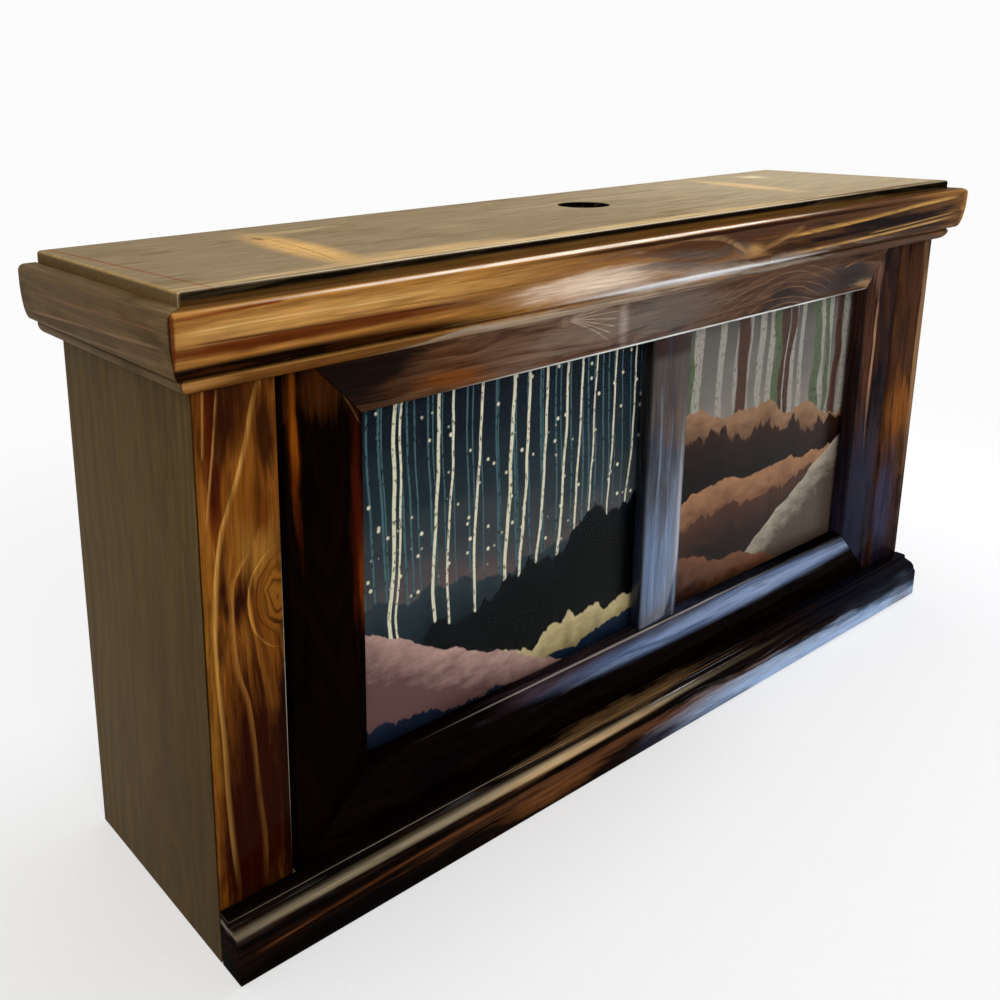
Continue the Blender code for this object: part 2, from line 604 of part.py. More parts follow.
def make_catch(stop_batten, door, plastic, steel):
    """Magnetic catch under the stop batten, and its strike plate on the inside of the door."""
    middle = -INNER_HALF + CATCH_FROM_SIDE
    seat = TOP_UNDERSIDE - GAP - STOP_BATTEN_HEIGHT - GAP
    strike_front = DOOR_FRONT - GAP - STRIKE_THICKNESS
    flange = CATCH_FLANGE_LENGTH / 2
    block = CATCH_BLOCK_LENGTH / 2
    section = [(-flange, 0), (flange, 0), (flange, -CATCH_FLANGE_THICKNESS), (block, -CATCH_FLANGE_THICKNESS),
               (block, -CATCH_BLOCK_HEIGHT), (-block, -CATCH_BLOCK_HEIGHT), (-block, -CATCH_FLANGE_THICKNESS),
               (-flange, -CATCH_FLANGE_THICKNESS)]
    section = [(middle + u, seat + v) for u, v in section]
    back = strike_front - GAP
    catch = make_piece("magnetic_catch", prism(section, "Y", back - CATCH_DEPTH, back), plastic)
    for end, sign in (("left", -1), ("right", 1)):
        across = middle + sign * (flange + block) / 2
        depth = back - CATCH_DEPTH / 2
        drill(catch, (across, depth, seat - CATCH_FLANGE_THICKNESS), (0, 0, 1), SCREW_SHANK_RADIUS + GAP,
              CATCH_FLANGE_THICKNESS + 4 * GAP, steps=16)
        fixing_screw(f"catch_{end}_screw", (across, depth, seat + GAP), CATCH_FLANGE_THICKNESS, (0, 0, 1),
                     steel, stop_batten)
    screw_height = seat - STRIKE_ABOVE_SCREW
    strike_low = (middle - STRIKE_WIDTH / 2, strike_front, seat - STRIKE_HEIGHT)
    strike_high = (middle + STRIKE_WIDTH / 2, DOOR_FRONT - GAP, seat)
    strike = make_piece("strike_plate", box(strike_low, strike_high), steel)
    drill(strike, (middle, strike_front, screw_height), (0, 1, 0), SCREW_SHANK_RADIUS + GAP,
          STRIKE_THICKNESS + 4 * GAP, steps=16)
    fixing_screw("strike_screw", (middle, DOOR_FRONT, screw_height), STRIKE_THICKNESS, (0, 1, 0), steel, door)


def make_knob(door, wood_finish, steel):
    """Turned knob on the door, held by a screw from inside, no deeper than the top's overhang."""
    across = -DOOR_HALF + KNOB_FROM_EDGE
    height = (DOOR_BOTTOM_GAP + DOOR_TOP) / 2
    seat = (across, BACK + GAP, height)
    length = KNOB_NECK_LENGTH + KNOB_HEAD_LENGTH
    belly = KNOB_HEAD_LENGTH / 2
    dome = [(KNOB_RADIUS - belly + belly * math.cos(a), KNOB_NECK_LENGTH + belly + belly * math.sin(a))
            for a in [math.radians(-60 + 25 * i) for i in range(7)]]
    neck = [(0, 0), (KNOB_NECK_RADIUS * 1.3, 0), (KNOB_NECK_RADIUS, KNOB_NECK_LENGTH)]
    body = turned(neck + dome + [(0, length)], seat, (0, 1, 0))
    knob = make_piece("door_knob", body, wood_finish, round_piece=True, origin=seat)
    bite = length - SCREW_HEAD_HEIGHT * 2
    drill(knob, seat, (0, 1, 0), SCREW_SHANK_RADIUS + GAP, bite + GAP, steps=16)
    inside = (across, DOOR_FRONT, height)
    drill(door, inside, (0, 1, 0), SCREW_SHANK_RADIUS + GAP, DOOR_THICKNESS + 4 * GAP, steps=16)
    head_seat = (across, DOOR_FRONT - GAP, height)
    wood_screw("knob_screw", head_seat, (0, 1, 0), steel, SCREW_SHANK_RADIUS, SCREW_HEAD_RADIUS,
               SCREW_HEAD_HEIGHT, GAP + DOOR_THICKNESS + GAP + bite)


def main():
    for old in list(bpy.data.objects):
        bpy.data.objects.remove(old)

    front_pine = new_finish("torched_pine_varnished", (92, 48, 20), 0.22)
    side_pine = new_finish("stained_pine_satin", (82, 70, 48), 0.55)
    top_pine = new_finish("torched_pine_satin", (150, 130, 98), 0.45)
    inside_pine = new_finish("bare_pine", (205, 170, 120), 0.7)
    door_pine = new_finish("stained_pine_door", (96, 78, 52), 0.6)
    clear_glass = new_finish("float_glass", (225, 235, 232), 0.03, alpha=0.3)
    photo_paper = new_finish("photo_paper", (120, 118, 116), 0.35)
    hardboard = new_finish("hardboard", (124, 88, 58), 0.75)
    brass = new_finish("brass_plate", (176, 140, 72), 0.35, metallic=1.0)
    steel = new_finish("zinc_plated_steel", (170, 172, 176), 0.35, metallic=1.0)
    plastic = new_finish("brown_plastic", (64, 44, 30), 0.45)

    sides = make_sides(side_pine)
    make_face(front_pine)
    stop_batten = make_inside_boards(inside_pine)
    make_top(top_pine)
    make_crown(front_pine)
    make_base_moulding(front_pine)
    members = make_frame_members(front_pine)
    make_mullion(front_pine)
    make_panes(clear_glass, photo_paper, hardboard)
    make_turn_buttons(members, steel, steel)
    door = make_door(door_pine)
    for place, middle in (("lower", DOOR_BOTTOM_GAP + HINGE_FROM_END), ("upper", DOOR_TOP - HINGE_FROM_END)):
        make_hinge(place, middle, sides["right"], door, brass, steel)
    make_catch(stop_batten, door, plastic, steel)
    make_knob(door, door_pine, steel)
    drill_all()


main()
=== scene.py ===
# %% [markdown]
# # A mantel case with a double picture frame: the looks
#
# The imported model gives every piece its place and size. This script dresses it: it takes the sharp
# edges off the wood, paints torched and stained pine with nodes, puts prints behind glass, and adds
# the floor, the light and the camera.

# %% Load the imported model
import json
import math
from functools import partial

import bmesh
import bpy
from mathutils import Matrix, Vector


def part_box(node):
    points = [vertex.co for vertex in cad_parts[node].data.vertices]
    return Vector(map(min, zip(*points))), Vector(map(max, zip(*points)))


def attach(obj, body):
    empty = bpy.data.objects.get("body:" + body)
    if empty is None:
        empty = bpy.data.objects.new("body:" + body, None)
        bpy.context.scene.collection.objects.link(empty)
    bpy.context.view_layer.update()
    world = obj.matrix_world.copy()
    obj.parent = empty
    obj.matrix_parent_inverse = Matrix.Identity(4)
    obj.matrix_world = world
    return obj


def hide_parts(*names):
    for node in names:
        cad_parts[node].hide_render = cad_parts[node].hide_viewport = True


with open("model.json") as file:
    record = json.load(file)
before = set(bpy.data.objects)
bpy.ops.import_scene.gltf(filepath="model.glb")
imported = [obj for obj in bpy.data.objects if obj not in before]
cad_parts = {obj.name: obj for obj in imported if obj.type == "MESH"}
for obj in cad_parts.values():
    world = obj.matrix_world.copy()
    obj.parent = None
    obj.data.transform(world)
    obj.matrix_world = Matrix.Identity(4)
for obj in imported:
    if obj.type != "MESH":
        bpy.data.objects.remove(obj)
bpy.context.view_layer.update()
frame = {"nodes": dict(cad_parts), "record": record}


# %% [markdown]
# ## The camera
#
# The camera stands in front of the left corner, a little above the top board, where the photograph
# was taken from. Its place and turn were worked out from the object's edges. The object isn't in the
# middle of the lens's view there, so the lens is shifted instead of turned.

# %% The camera
FOCAL = 1071.3062            # in pixels of a 1000 x 1000 image
CENTRE_X, CENTRE_Y = 345.7335, 358.3279
YAW, PITCH, ROLL = 0.637795, 0.253209, 0.0199668
CAMERA_PLACE = Vector((-0.5345565, -0.459265, 0.4225557))


def put(name, data):
    """An object of some data, in the scene."""
    thing = bpy.data.objects.new(name, data)
    bpy.context.scene.collection.objects.link(thing)
    return thing


forward = Vector((math.sin(YAW) * math.cos(PITCH), math.cos(YAW) * math.cos(PITCH), -math.sin(PITCH)))
level = Vector((math.cos(YAW), -math.sin(YAW), 0))
down = forward.cross(level)
right = math.cos(ROLL) * level + math.sin(ROLL) * down
under = -math.sin(ROLL) * level + math.cos(ROLL) * down

lens = bpy.data.cameras.new("camera")
lens.sensor_width = 36
lens.lens = 36 * FOCAL / 1000
lens.shift_x = (500 - CENTRE_X) / 1000
lens.shift_y = (CENTRE_Y - 500) / 1000
lens.clip_start = 0.01
camera = put("camera", lens)
camera.matrix_world = (Matrix.Translation(CAMERA_PLACE)
                       @ Matrix((right, -under, -forward)).transposed().to_4x4())
bpy.context.scene.camera = camera
bpy.context.scene.view_settings.view_transform = "Standard"
print("lens", round(lens.lens, 2), "mm, shift", round(lens.shift_x, 3), round(lens.shift_y, 3))

# %% [markdown]
# ## Small helpers for materials
#
# Colours are written as sRGB hex, the way a colour picker shows them, and turned to linear once.
# Every node is added by one function: settings are attributes, and each input is a value or another
# socket. It returns the output that the next node needs, so that a recipe reads from the inside out.
# A new material comes with that function bound to its own tree, and the recipes call it add.

# %% Colour and node helpers
def paint(code):
    """An sRGB hex colour as linear RGBA."""
    parts = [int(code[i:i + 2], 16) / 255 for i in (0, 2, 4)]
    return (*[p / 12.92 if p <= 0.04045 else ((p + 0.055) / 1.055) ** 2.4 for p in parts], 1.0)


def add_node(tree, kind, inputs=(), operation=None, out=0, stops=(), **settings):
    """Adds a node and returns one of its outputs, if it has any, or all where out is None. inputs is
    a dict of socket names or numbers to values or other sockets. operation is what a Math node works
    out, and stops are a colour ramp's (place, hex)."""
    node = tree.nodes.new("ShaderNode" + kind)
    if operation:
        node.operation = operation
    for name, value in settings.items():
        setattr(node, name, value)
    for key, value in dict(inputs).items():
        if isinstance(value, bpy.types.NodeSocket):
            tree.links.new(value, node.inputs[key])
        else:
            node.inputs[key].default_value = value
    if stops:
        elements = node.color_ramp.elements
        elements[0].position, elements[0].color = stops[0][0], paint(stops[0][1])
        elements[1].position, elements[1].color = stops[-1][0], paint(stops[-1][1])
        for place, code in stops[1:-1]:
            elements.new(place).color = paint(code)
    return node.outputs[out] if len(node.outputs) and out is not None else node.outputs


COLOURS = {"data_type": "RGBA", "out": 2}    # a Mix node has its colours in sockets 6 and 7
SMOOTHLY = {"interpolation_type": "SMOOTHSTEP"}


def start_material(name):
    """A material without nodes, and the function that adds nodes to it."""
    material = bpy.data.materials.new(name)
    material.use_nodes = True
    material.node_tree.nodes.clear()
    return material, partial(add_node, material.node_tree)


def place_in_mm(add):
    """Where a point of the surface is, in millimetres. It stays with the piece as it moves."""
    return add("VectorMath", {0: add("TexCoord", out="Object"), 1: (1000, 1000, 1000)}, "MULTIPLY")


print("colour check, mid grey in linear:", round(paint("808080")[0], 3))

# %% [markdown]
# ## Marks on the wood
#
# A plank shows more than even rings: patches where the flame stayed longer, one long pale line, a
# knot. Each of these is a mark at a place measured in the photograph, in mm along the grain (u) and
# across it (v). Some marks are painted light instead: sheens, highlights, reflections and shade, each
# noted where it is used. A torn oval has an edge torn along the grain, and a band the straight edge
# that a brush or a saw leaves. An edge band is for a board's narrow side. A streak is sharp on one
# side and fades on the other, as the end of one year's growth does. A knot has rings of its own, and
# a parting is only the flow of the grain. Each kind is a function that takes the wood's colour and
# returns the next.

# %% How each kind of mark is drawn
ANY_DEPTH = 1e6              # mm: an oval reaches through the whole board


def oval_reach(add, place, oval, turn=0):
    """How far a point is from the middle of an oval, turned by some degrees: 1 on its edge."""
    u, v, half_u, half_v = oval
    inside = add("Mapping", {
        "Vector": place, "Location": (u, 0, v), "Rotation": (0, math.radians(turn), 0),
        "Scale": (half_u, ANY_DEPTH, half_v)}, vector_type="TEXTURE")
    return add("VectorMath", {0: inside}, "LENGTH", out="Value")


def oval_cover(add, wood, oval, strength, soft, turn=0, torn=True):
    """How strongly an oval covers, with an edge torn along the grain or a straight one."""
    reach = oval_reach(add, wood["shaken" if torn else "flat"], oval, turn)
    if torn:
        reach = add("Math", {0: reach, 1: wood["ragged"]}, "MULTIPLY")
    return add("MapRange", {0: reach, 1: 1 + soft, 2: max(1 - soft, 0), 4: strength}, **SMOOTHLY)


def torn_oval(add, colour, wood, u, v, half_u, half_v, code, strength, soft, turn=0, torn=True):
    """An oval of another colour."""
    cover = oval_cover(add, wood, (u, v, half_u, half_v), strength, soft, turn, torn)
    return add("Mix", {0: cover, 6: colour, 7: paint(code)}, **COLOURS)


def band(add, colour, wood, *values):
    """An oval of another colour, with a straight edge."""
    return torn_oval(add, colour, wood, *values, torn=False)


def edge_band(add, colour, wood, *values):
    """A band whose v counts through the board's thickness."""
    parts = add("SeparateXYZ", {0: wood["flat"]}, out=None)
    turned = add("CombineXYZ", {0: parts[0], 1: parts[2], 2: parts[1]})
    return band(add, colour, {"flat": turned}, *values)


def streak(add, colour, wood, points, width, code, strength):
    """A line through (u, v) points, along the grain or across it. It reaches half a width to its
    sharp side and two widths to its fading side. A negative width swaps the sides."""
    us, vs = zip(*points)
    parts = list(add("SeparateXYZ", {0: wood["flat"]}, out=None))
    if max(vs) - min(vs) > max(us) - min(us):
        us, vs = vs, us
        parts.reverse()
    low_u, high_u, low_v, high_v = min(us), max(us), min(vs) - 1, max(vs) + 1
    along = add("MapRange", {0: parts[0], 1: low_u, 2: high_u})
    path = add("FloatCurve", {1: along})
    mapping = path.node.mapping
    spots = sorted(((u - low_u) / (high_u - low_u), (v - low_v) / (high_v - low_v))
                   for u, v in zip(us, vs))
    curve = mapping.curves[0]
    curve.points[0].location, curve.points[1].location = spots[0], spots[-1]
    for spot in spots[1:-1]:
        curve.points.new(*spot)
    mapping.update()
    across = add("MapRange", {0: path, 3: low_v, 4: high_v})
    side = add("Math", {0: add("Math", {0: parts[2], 1: across}, "SUBTRACT"), 1: width}, "DIVIDE")
    sharp = add("MapRange", {0: side, 1: -0.5, 2: 0.0}, **SMOOTHLY)
    fading = add("MapRange", {0: side, 1: 2.0, 2: 0.1}, **SMOOTHLY)
    body = add("Math", {0: sharp, 1: fading}, "MULTIPLY")
    to_end = add("Math", {0: add("Math", {0: along, 1: 0.5}, "SUBTRACT")}, "ABSOLUTE")
    taper = add("MapRange", {0: to_end, 1: 0.5, 2: 0.4})
    breath = add("MapRange", {0: wood["ragged"], 1: 1.25, 2: 0.85, 3: strength * 0.55, 4: strength})
    drawn = add("Math", {0: body, 1: taper}, "MULTIPLY")
    cover = add("Math", {0: drawn, 1: breath}, "MULTIPLY")
    return add("Mix", {0: cover, 6: colour, 7: paint(code)}, **COLOURS)


def knot(add, colour, wood, u, v, half_u, half_v, light, dark):
    """A branch cut across: a dark core, a few uneven rings and a dark rim."""
    jitter = add("TexNoise", {"Vector": wood["flat"], "Scale": 0.09}, out="Color")
    moved = add("VectorMath", {0: jitter, 1: (14, 0, 9), 2: wood["flat"]}, "MULTIPLY_ADD")
    centred = add("VectorMath", {0: moved, 1: (-7, 0, -4.5)}, "ADD")
    reach = oval_reach(add, centred, (u, v, half_u, half_v))
    rings = add("ValToRGB", {0: reach}, stops=[
        (0.0, dark), (0.16, light), (0.42, light), (0.56, dark), (0.66, light), (0.8, light),
        (0.92, dark)])
    cover = add("MapRange", {0: reach, 1: 1.15, 2: 0.75, 4: 0.6}, **SMOOTHLY)
    return add("Mix", {0: cover, 6: colour, 7: rings}, **COLOURS)


def parting(add, colour, wood, *values):
    """Adds no colour, because pine() itself parts the grain here."""
    return colour


print("kinds of mark: scorch, band, edge_band, streak, knot, parting")

# %% [markdown]
# ## The wood itself
#
# The real case is pine. Its front was scorched with a torch, stained and varnished until it shone.
# Growth rings are cylinders round the tree's heart, so the pattern is the distance from a heart line
# that runs along the board, bent by noise: one recipe then gives lines on the faces and arcs on the
# ends. Round a knot the lines part as water parts round a stone: near it, points are read from
# closer to its middle than they are.

# %% Growth rings
DRIFT, WOBBLE = 26, 4        # mm that slow and quick noise can move a ring


def part_grain(add, place, oval, turn=0):
    """Moves the points round an oval towards its middle, so that the grain flows past it."""
    u, v = oval[:2]
    near = add("Math", {0: oval_reach(add, place, oval, turn), 1: -2.0}, "POWER")
    left = add("Math", {0: 1.0, 1: near}, "SUBTRACT", use_clamp=True)
    pull = add("Math", {0: left}, "SQRT")
    away = add("VectorMath", {0: place, 1: (u, 0, v)}, "SUBTRACT")
    scale = add("CombineXYZ", {0: pull, 1: 1.0, 2: pull})
    return add("VectorMath", {0: away, 1: scale, 2: (u, 0, v)}, "MULTIPLY_ADD")


def growth_rings(add, place, seed, heart, ring):
    """How hard the wood is, the noise that shakes its rings, and the place that they are drawn at."""
    drift = add("TexNoise", {"Vector": add("Mapping", {
        "Vector": place, "Location": (seed * 37, seed * 11, 0), "Scale": (0.006, 0.02, 0.02)}),
        "Scale": 1.0, "Detail": 1.0}, out="Color")
    wobble = add("TexNoise", {"Vector": add("Mapping", {
        "Vector": place, "Location": (0, 0, seed * 13), "Scale": (0.03, 0.1, 0.1)}),
        "Scale": 1.0}, out="Color")
    bent = add("VectorMath", {0: drift, 1: (0, DRIFT, DRIFT), 2: place}, "MULTIPLY_ADD")
    bent = add("VectorMath", {0: wobble, 1: (0, WOBBLE, WOBBLE), 2: bent}, "MULTIPLY_ADD")
    heart_v, heart_depth = heart
    from_heart = add("VectorMath", {0: bent, 1: (0, heart_depth, heart_v)}, "SUBTRACT")
    radial = add("VectorMath", {0: from_heart, 1: (0, 1, 1)}, "MULTIPLY")
    radius = add("VectorMath", {0: radial}, "LENGTH", out="Value")
    season = add("Math", {0: add("Math", {0: radius, 1: ring}, "DIVIDE")}, "FRACT")
    hard = add("ValToRGB", {0: season}, stops=[(0.35, "000000"), (0.86, "ffffff"), (0.97, "000000")])
    return hard, wobble, bent


print(f"growth rings: moved by up to {DRIFT + WOBBLE} mm")

# %% [markdown]
# ### Flame, stain and varnish
#
# Fibres half a mm apart and singed stripes a few mm wide are noise drawn out along the grain, and
# blotches are a finger wide. Torn ovals lie on a shaken copy of the plank's plane, so that none has a
# drawn edge.

# %% Torched and stained pine
SHAKE = (26, 0, 7)           # mm that noise can move a mark's torn edge, in u, depth and v
RELIEF, GRAIN_DEPTH = 0.12, 0.0008        # share and metres of relief in the grain


def varnished(add, colour, hard, fibre, gloss, specular, coat):
    """The wood's shader: a rough body with fine relief under a clear coat."""
    rough = add("MapRange", {0: fibre, 1: 0.3, 2: 0.7, 3: gloss * 0.8, 4: gloss * 1.25})
    height = add("Math", {0: hard, 1: 0.35, 2: fibre}, "MULTIPLY_ADD")
    bump = add("Bump", {"Height": height, "Strength": RELIEF, "Distance": GRAIN_DEPTH})
    return add("BsdfPrincipled", {"Base Color": colour, "Roughness": rough, "Normal": bump,
                                  "Specular IOR Level": specular, "Coat Weight": coat,
                                  "Coat Roughness": 0.1})


def pine(name, grain, across, seed, early, late, stain, heart, marks=(), ring=4, lines=0.5, blotch=0.5,
         char=0.3, gloss=0.3, specular=0.0, varnish=0.06, shines=(), bare_from=None):
    """Pine with its grain along one axis. seed moves every noise to a place of its own. early, late
    and stain are hex colours of the soft wood, the hard lines and what the flame or the stain left
    dark. heart is the heart line's (v, depth) and ring the ring spacing, in mm. varnish is how thick
    the clear coat lies, and shines are ovals where it lies thicker: (u, v, half_u, half_v, thickness,
    softness). From the depth bare_from on, the board is bare, for a back that the flame and the brush
    never reached."""
    material, add = start_material(name)
    axes = add("SeparateXYZ", {0: place_in_mm(add)}, out=None)
    depth = ({"X", "Y", "Z"} - {grain, across}).pop()
    flat = add("CombineXYZ", {0: axes[grain], 1: axes[depth], 2: axes[across]})
    around = flat
    for kind, *mark in marks:
        if kind in (knot, parting):
            around = part_grain(add, around, mark[:4], mark[4] if kind is parting else 0)
    hard, wobble, bent = growth_rings(add, around, seed, heart, ring)
    drawn = add("Math", {0: hard, 1: lines}, "MULTIPLY")
    colour = add("Mix", {0: drawn, 6: paint(early), 7: paint(late)}, **COLOURS)

    fibre = add("TexNoise", {"Vector": add("Mapping", {
        "Vector": around, "Scale": (0.03, 0.9, 0.9)}), "Scale": 1.0, "Detail": 3.0})
    singed = add("TexNoise", {"Vector": add("Mapping", {
        "Vector": bent, "Location": (seed * 5, seed * 3, 0), "Scale": (0.006, 0.22, 0.22)}),
        "Scale": 1.0, "Detail": 4.0, "Roughness": 0.6})
    cloud = add("TexNoise", {"Vector": add("Mapping", {
        "Vector": around, "Location": (seed * 7, 0, seed * 3), "Scale": (0.014, 0.045, 0.045)}),
        "Scale": 1.0, "Detail": 3.0, "Roughness": 0.6})
    burnt = add("MapRange", {0: cloud, 1: 0.62 - blotch * 0.3, 2: 0.78 - blotch * 0.3}, **SMOOTHLY)
    colour = add("Mix", {0: burnt, 6: colour, 7: paint(stain)}, **COLOURS)

    shake = add("VectorMath", {0: wobble, 1: (0.5, 0.5, 0.5)}, "SUBTRACT")
    wood = {"flat": flat,
            "shaken": add("VectorMath", {0: shake, 1: SHAKE, 2: flat}, "MULTIPLY_ADD"),
            "ragged": add("MapRange", {0: singed, 1: 0.35, 2: 0.65, 3: 0.7, 4: 1.4})}
    for kind, *mark in marks:
        colour = kind(add, colour, wood, *mark)
    stripes = add("MapRange", {0: singed, 1: 0.5, 2: 0.66, 4: char}, **SMOOTHLY)
    colour = add("Mix", {0: stripes, 6: colour, 7: paint(stain)}, **COLOURS)
    coat = varnish
    for *oval, thickness, soft in shines:
        coat = add("Mix", {0: oval_cover(add, wood, oval, 1.0, soft), 2: coat, 3: thickness})
    if bare_from is not None:
        bare = add("MapRange", {0: axes[depth], 1: bare_from, 2: bare_from + 0.3})
        plain = add("Mix", {0: hard, 6: paint("c4a272"), 7: paint("a88450")}, **COLOURS)
        colour = add("Mix", {0: bare, 6: colour, 7: plain}, **COLOURS)
        coat = add("Mix", {0: bare, 2: coat, 3: 0.0})
    strokes = add("MapRange", {0: fibre, 1: 0.3, 2: 0.7, 3: 0.74, 4: 1.24})
    tone = add("CombineColor", {0: strokes, 1: strokes, 2: strokes})
    colour = add("Mix", {0: 1.0, 6: colour, 7: tone}, **COLOURS, blend_type="MULTIPLY")
    add("OutputMaterial", {0: varnished(add, colour, hard, fibre, gloss, specular, coat)})
    print(f"{name}: {len(marks)} marks, {len(material.node_tree.nodes)} nodes")
    return material


# %% [markdown]
# ## Softened copies of the wooden pieces
#
# A saw leaves a sharp edge, but sanding and a flame round it, and that thin rounding is what catches
# the light. A node's mesh is loose triangles, so a copy is merged first, its flat faces are joined
# up, and its sharp edges get a bevel.

# %% Softened copies
bodies = {node: body for body, nodes in frame["record"]["behaviour"]["bodies"].items() for node in nodes}
MERGE = 2e-6                 # metres: corners this close are one corner
FLAT, SHARP, SMOOTH = 0.5, 35, 32     # degrees: faces to join up, edges to round, edges to keep crisp


def mesh_from(bm, name):
    """A mesh with the shape of a bmesh, which is freed."""
    mesh = bpy.data.meshes.new(name)
    bm.to_mesh(mesh)
    bm.free()
    return mesh


def soften(node, material, rounding=0.0005, segments=2):
    """A copy of a CAD node with rounded edges, riding on the node's body in its place."""
    bm = bmesh.new()
    bm.from_mesh(frame["nodes"][node].data)
    bmesh.ops.remove_doubles(bm, verts=bm.verts, dist=MERGE)
    bmesh.ops.dissolve_limit(bm, angle_limit=math.radians(FLAT), verts=bm.verts, edges=bm.edges)
    edges = [e for e in bm.edges if e.is_manifold and e.calc_face_angle() > math.radians(SHARP)]
    if rounding > 0:
        bmesh.ops.bevel(bm, geom=edges, offset=rounding, offset_type="OFFSET", affect="EDGES",
                        segments=segments, profile=0.5, material=-1, clamp_overlap=True)
    bmesh.ops.recalc_face_normals(bm, faces=bm.faces)
    mesh = mesh_from(bm, f"{node}_finished")
    mesh.shade_smooth()
    mesh.set_sharp_from_angle(angle=math.radians(SMOOTH))
    mesh.materials.clear()
    mesh.materials.append(material)
    piece = put(f"{node}_finished", mesh)
    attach(piece, bodies[node])
    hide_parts(node)
    print(f"{node}: {len(edges)} edges rounded, {len(mesh.polygons)} faces")
    return piece


# %% [markdown]
# ## The face stiles: torched pine under gloss varnish
#
# The stiles are the upright boards at the front corners. The left one is the most lively board of the
# case: gold and red-brown, with long pale lines that bend round a knot at its inner edge. Each board is
# its own piece of wood, so each gets its own colours, ring spacing and marks. Gloss varnish is the
# shader's clear coat, kept thin so that the dark wood stays dark and only a lamp shows in it.

# %% The face stiles
BACK_OF_FRONT = -48.0        # mm in depth: the front members end at -47.5
left_stile = pine(
    "torched_pine_left_stile", "Z", "X", 1, "7a4614", "a86c26", "2a0e03", ring=6, heart=(-330, 10),
    blotch=0.4, char=0.5, varnish=0.03, bare_from=BACK_OF_FRONT, marks=[
    (torn_oval, 288, -308, 18, 14, "2e0e03", 0.9, 0.5), (torn_oval, 252, -318, 34, 4, "5c2006", 0.8, 0.6),
    (torn_oval, 236, -299, 30, 12, "7c4612", 0.6, 0.6), (torn_oval, 270, -290, 14, 6, "260c02", 0.9, 0.5),
    (torn_oval, 274, -313, 22, 5, "2e1003", 0.85, 0.5), (torn_oval, 246, -317, 16, 3.6, "3a1204", 0.85, 0.6),
    (torn_oval, 238, -294, 12, 5, "5c2c0a", 0.7, 0.7), (torn_oval, 222, -306, 12, 6, "8e5c20", 0.6, 0.8),
    (torn_oval, 214, -296, 12, 8, "a0702e", 0.6, 0.7), (torn_oval, 76, -302, 84, 20, "260501", 0.96, 0.4),
    (torn_oval, 84, -285, 88, 6, "1c0501", 0.97, 0.4), (knot, 188, -286, 15, 9, "a0641e", "3c1604"),
    (streak, [(300, -321), (280, -322), (262, -323)], 0.8, "b88240", 0.8),
    (streak, [(296, -314), (275, -316.5), (251, -320), (228, -323.5)], 0.8, "b88244", 0.85),
    (streak, [(298, -292), (284, -297), (268, -301), (252, -306), (237, -312), (224, -316.5), (191, -321),
              (158, -321.5), (126, -320), (83, -319), (38, -316)], 1.6, "c89448", 0.95),
    (streak, [(226, -292), (214, -300), (205, -307), (195, -310.5), (164, -310), (135, -304), (115, -302),
              (83, -300), (57, -298), (31, -299)], -1.7, "a87030", 0.95),
    (streak, [(214, -284), (207, -296), (196, -302), (180, -302), (167, -296),
              (160, -284)], 0.9, "c48c40", 0.85),
    (streak, [(210, -284), (204, -292), (194, -298), (182, -298), (172, -292),
              (166, -284)], 0.8, "4a1c04", 0.85),
    (torn_oval, 70, -308, 78, 16, "260501", 0.6, 0.7), (torn_oval, 150, -324.5, 76, 2.6, "946220", 0.8, 0.6),
    # the last band paints a pale highlight along the stile's right arris
    (band, 160, -327, 200, 0.9, "140602", 0.95, 0.4), (band, 130, -283.4, 70, 0.5, "b8b0a0", 0.9, 0.4)])
soften("left_face_stile", left_stile)

right_stile = pine(
    "torched_pine_right_stile", "Z", "X", 2, "402416", "5c3c22", "1a0e0a", ring=5, heart=(310, 20),
    blotch=0.4, char=0.45, gloss=0.28, bare_from=BACK_OF_FRONT, marks=[
    (torn_oval, 236, 306, 60, 8, "4c2e1c", 0.7, 0.5), (torn_oval, 160, 306, 24, 18, "8e5420", 0.85, 0.7),
    # the blue scorch low on the stile and the near-black one at its foot paint reflections
    (torn_oval, 214, 323, 92, 4.5, "9c7650", 0.85, 0.5), (torn_oval, 80, 296, 40, 14, "343c58", 0.75, 0.6),
    (torn_oval, 36, 300, 18, 20, "0c0e1c", 0.85, 0.6)])
soften("right_face_stile", right_stile)

# %% [markdown]
# ## The frame's members and the mullion
#
# The inset frame was burnt much darker than the case. Its left stile is close to black with two dull
# orange strips, its top rail shows a knot with fine lines that fan out from it and arched grain
# further right, and its bottom rail is black wood under varnish that lies thicker to the right.
# Painted light lies on top: a grey sheen and a white highlight on the top rail, a blue reflection on
# the bottom rail, and a navy reflection and shade on the right stile. The mullion is brown at the
# top, with a painted blue-grey reflection lower down and painted shade under the top rail, at its
# foot and on its left edge.

# %% The frame's members and the mullion
frame_left = pine(
    "torched_pine_frame_left_stile", "Z", "X", 3, "070200", "120502", "030100", heart=(-250, 20),
    gloss=0.35, varnish=0.01, bare_from=BACK_OF_FRONT, marks=[
    (torn_oval, 260, -274, 40, 3, "501e06", 0.8, 0.8), (torn_oval, 274, -273.6, 26, 1.7, "96500e", 0.75, 0.7),
    (torn_oval, 292, -262, 16, 8, "341606", 0.7, 0.7), (torn_oval, 284, -258, 12, 18, "402008", 0.7, 0.7),
    (torn_oval, 210, -238, 60, 3.5, "461404", 0.85, 0.7), (torn_oval, 176, -236, 22, 2.5, "74360e", 0.7, 0.8),
    (streak, [(292, -256), (276, -244), (262, -236)], 0.7, "7c6034", 0.5)])
soften("frame_left_stile", frame_left)

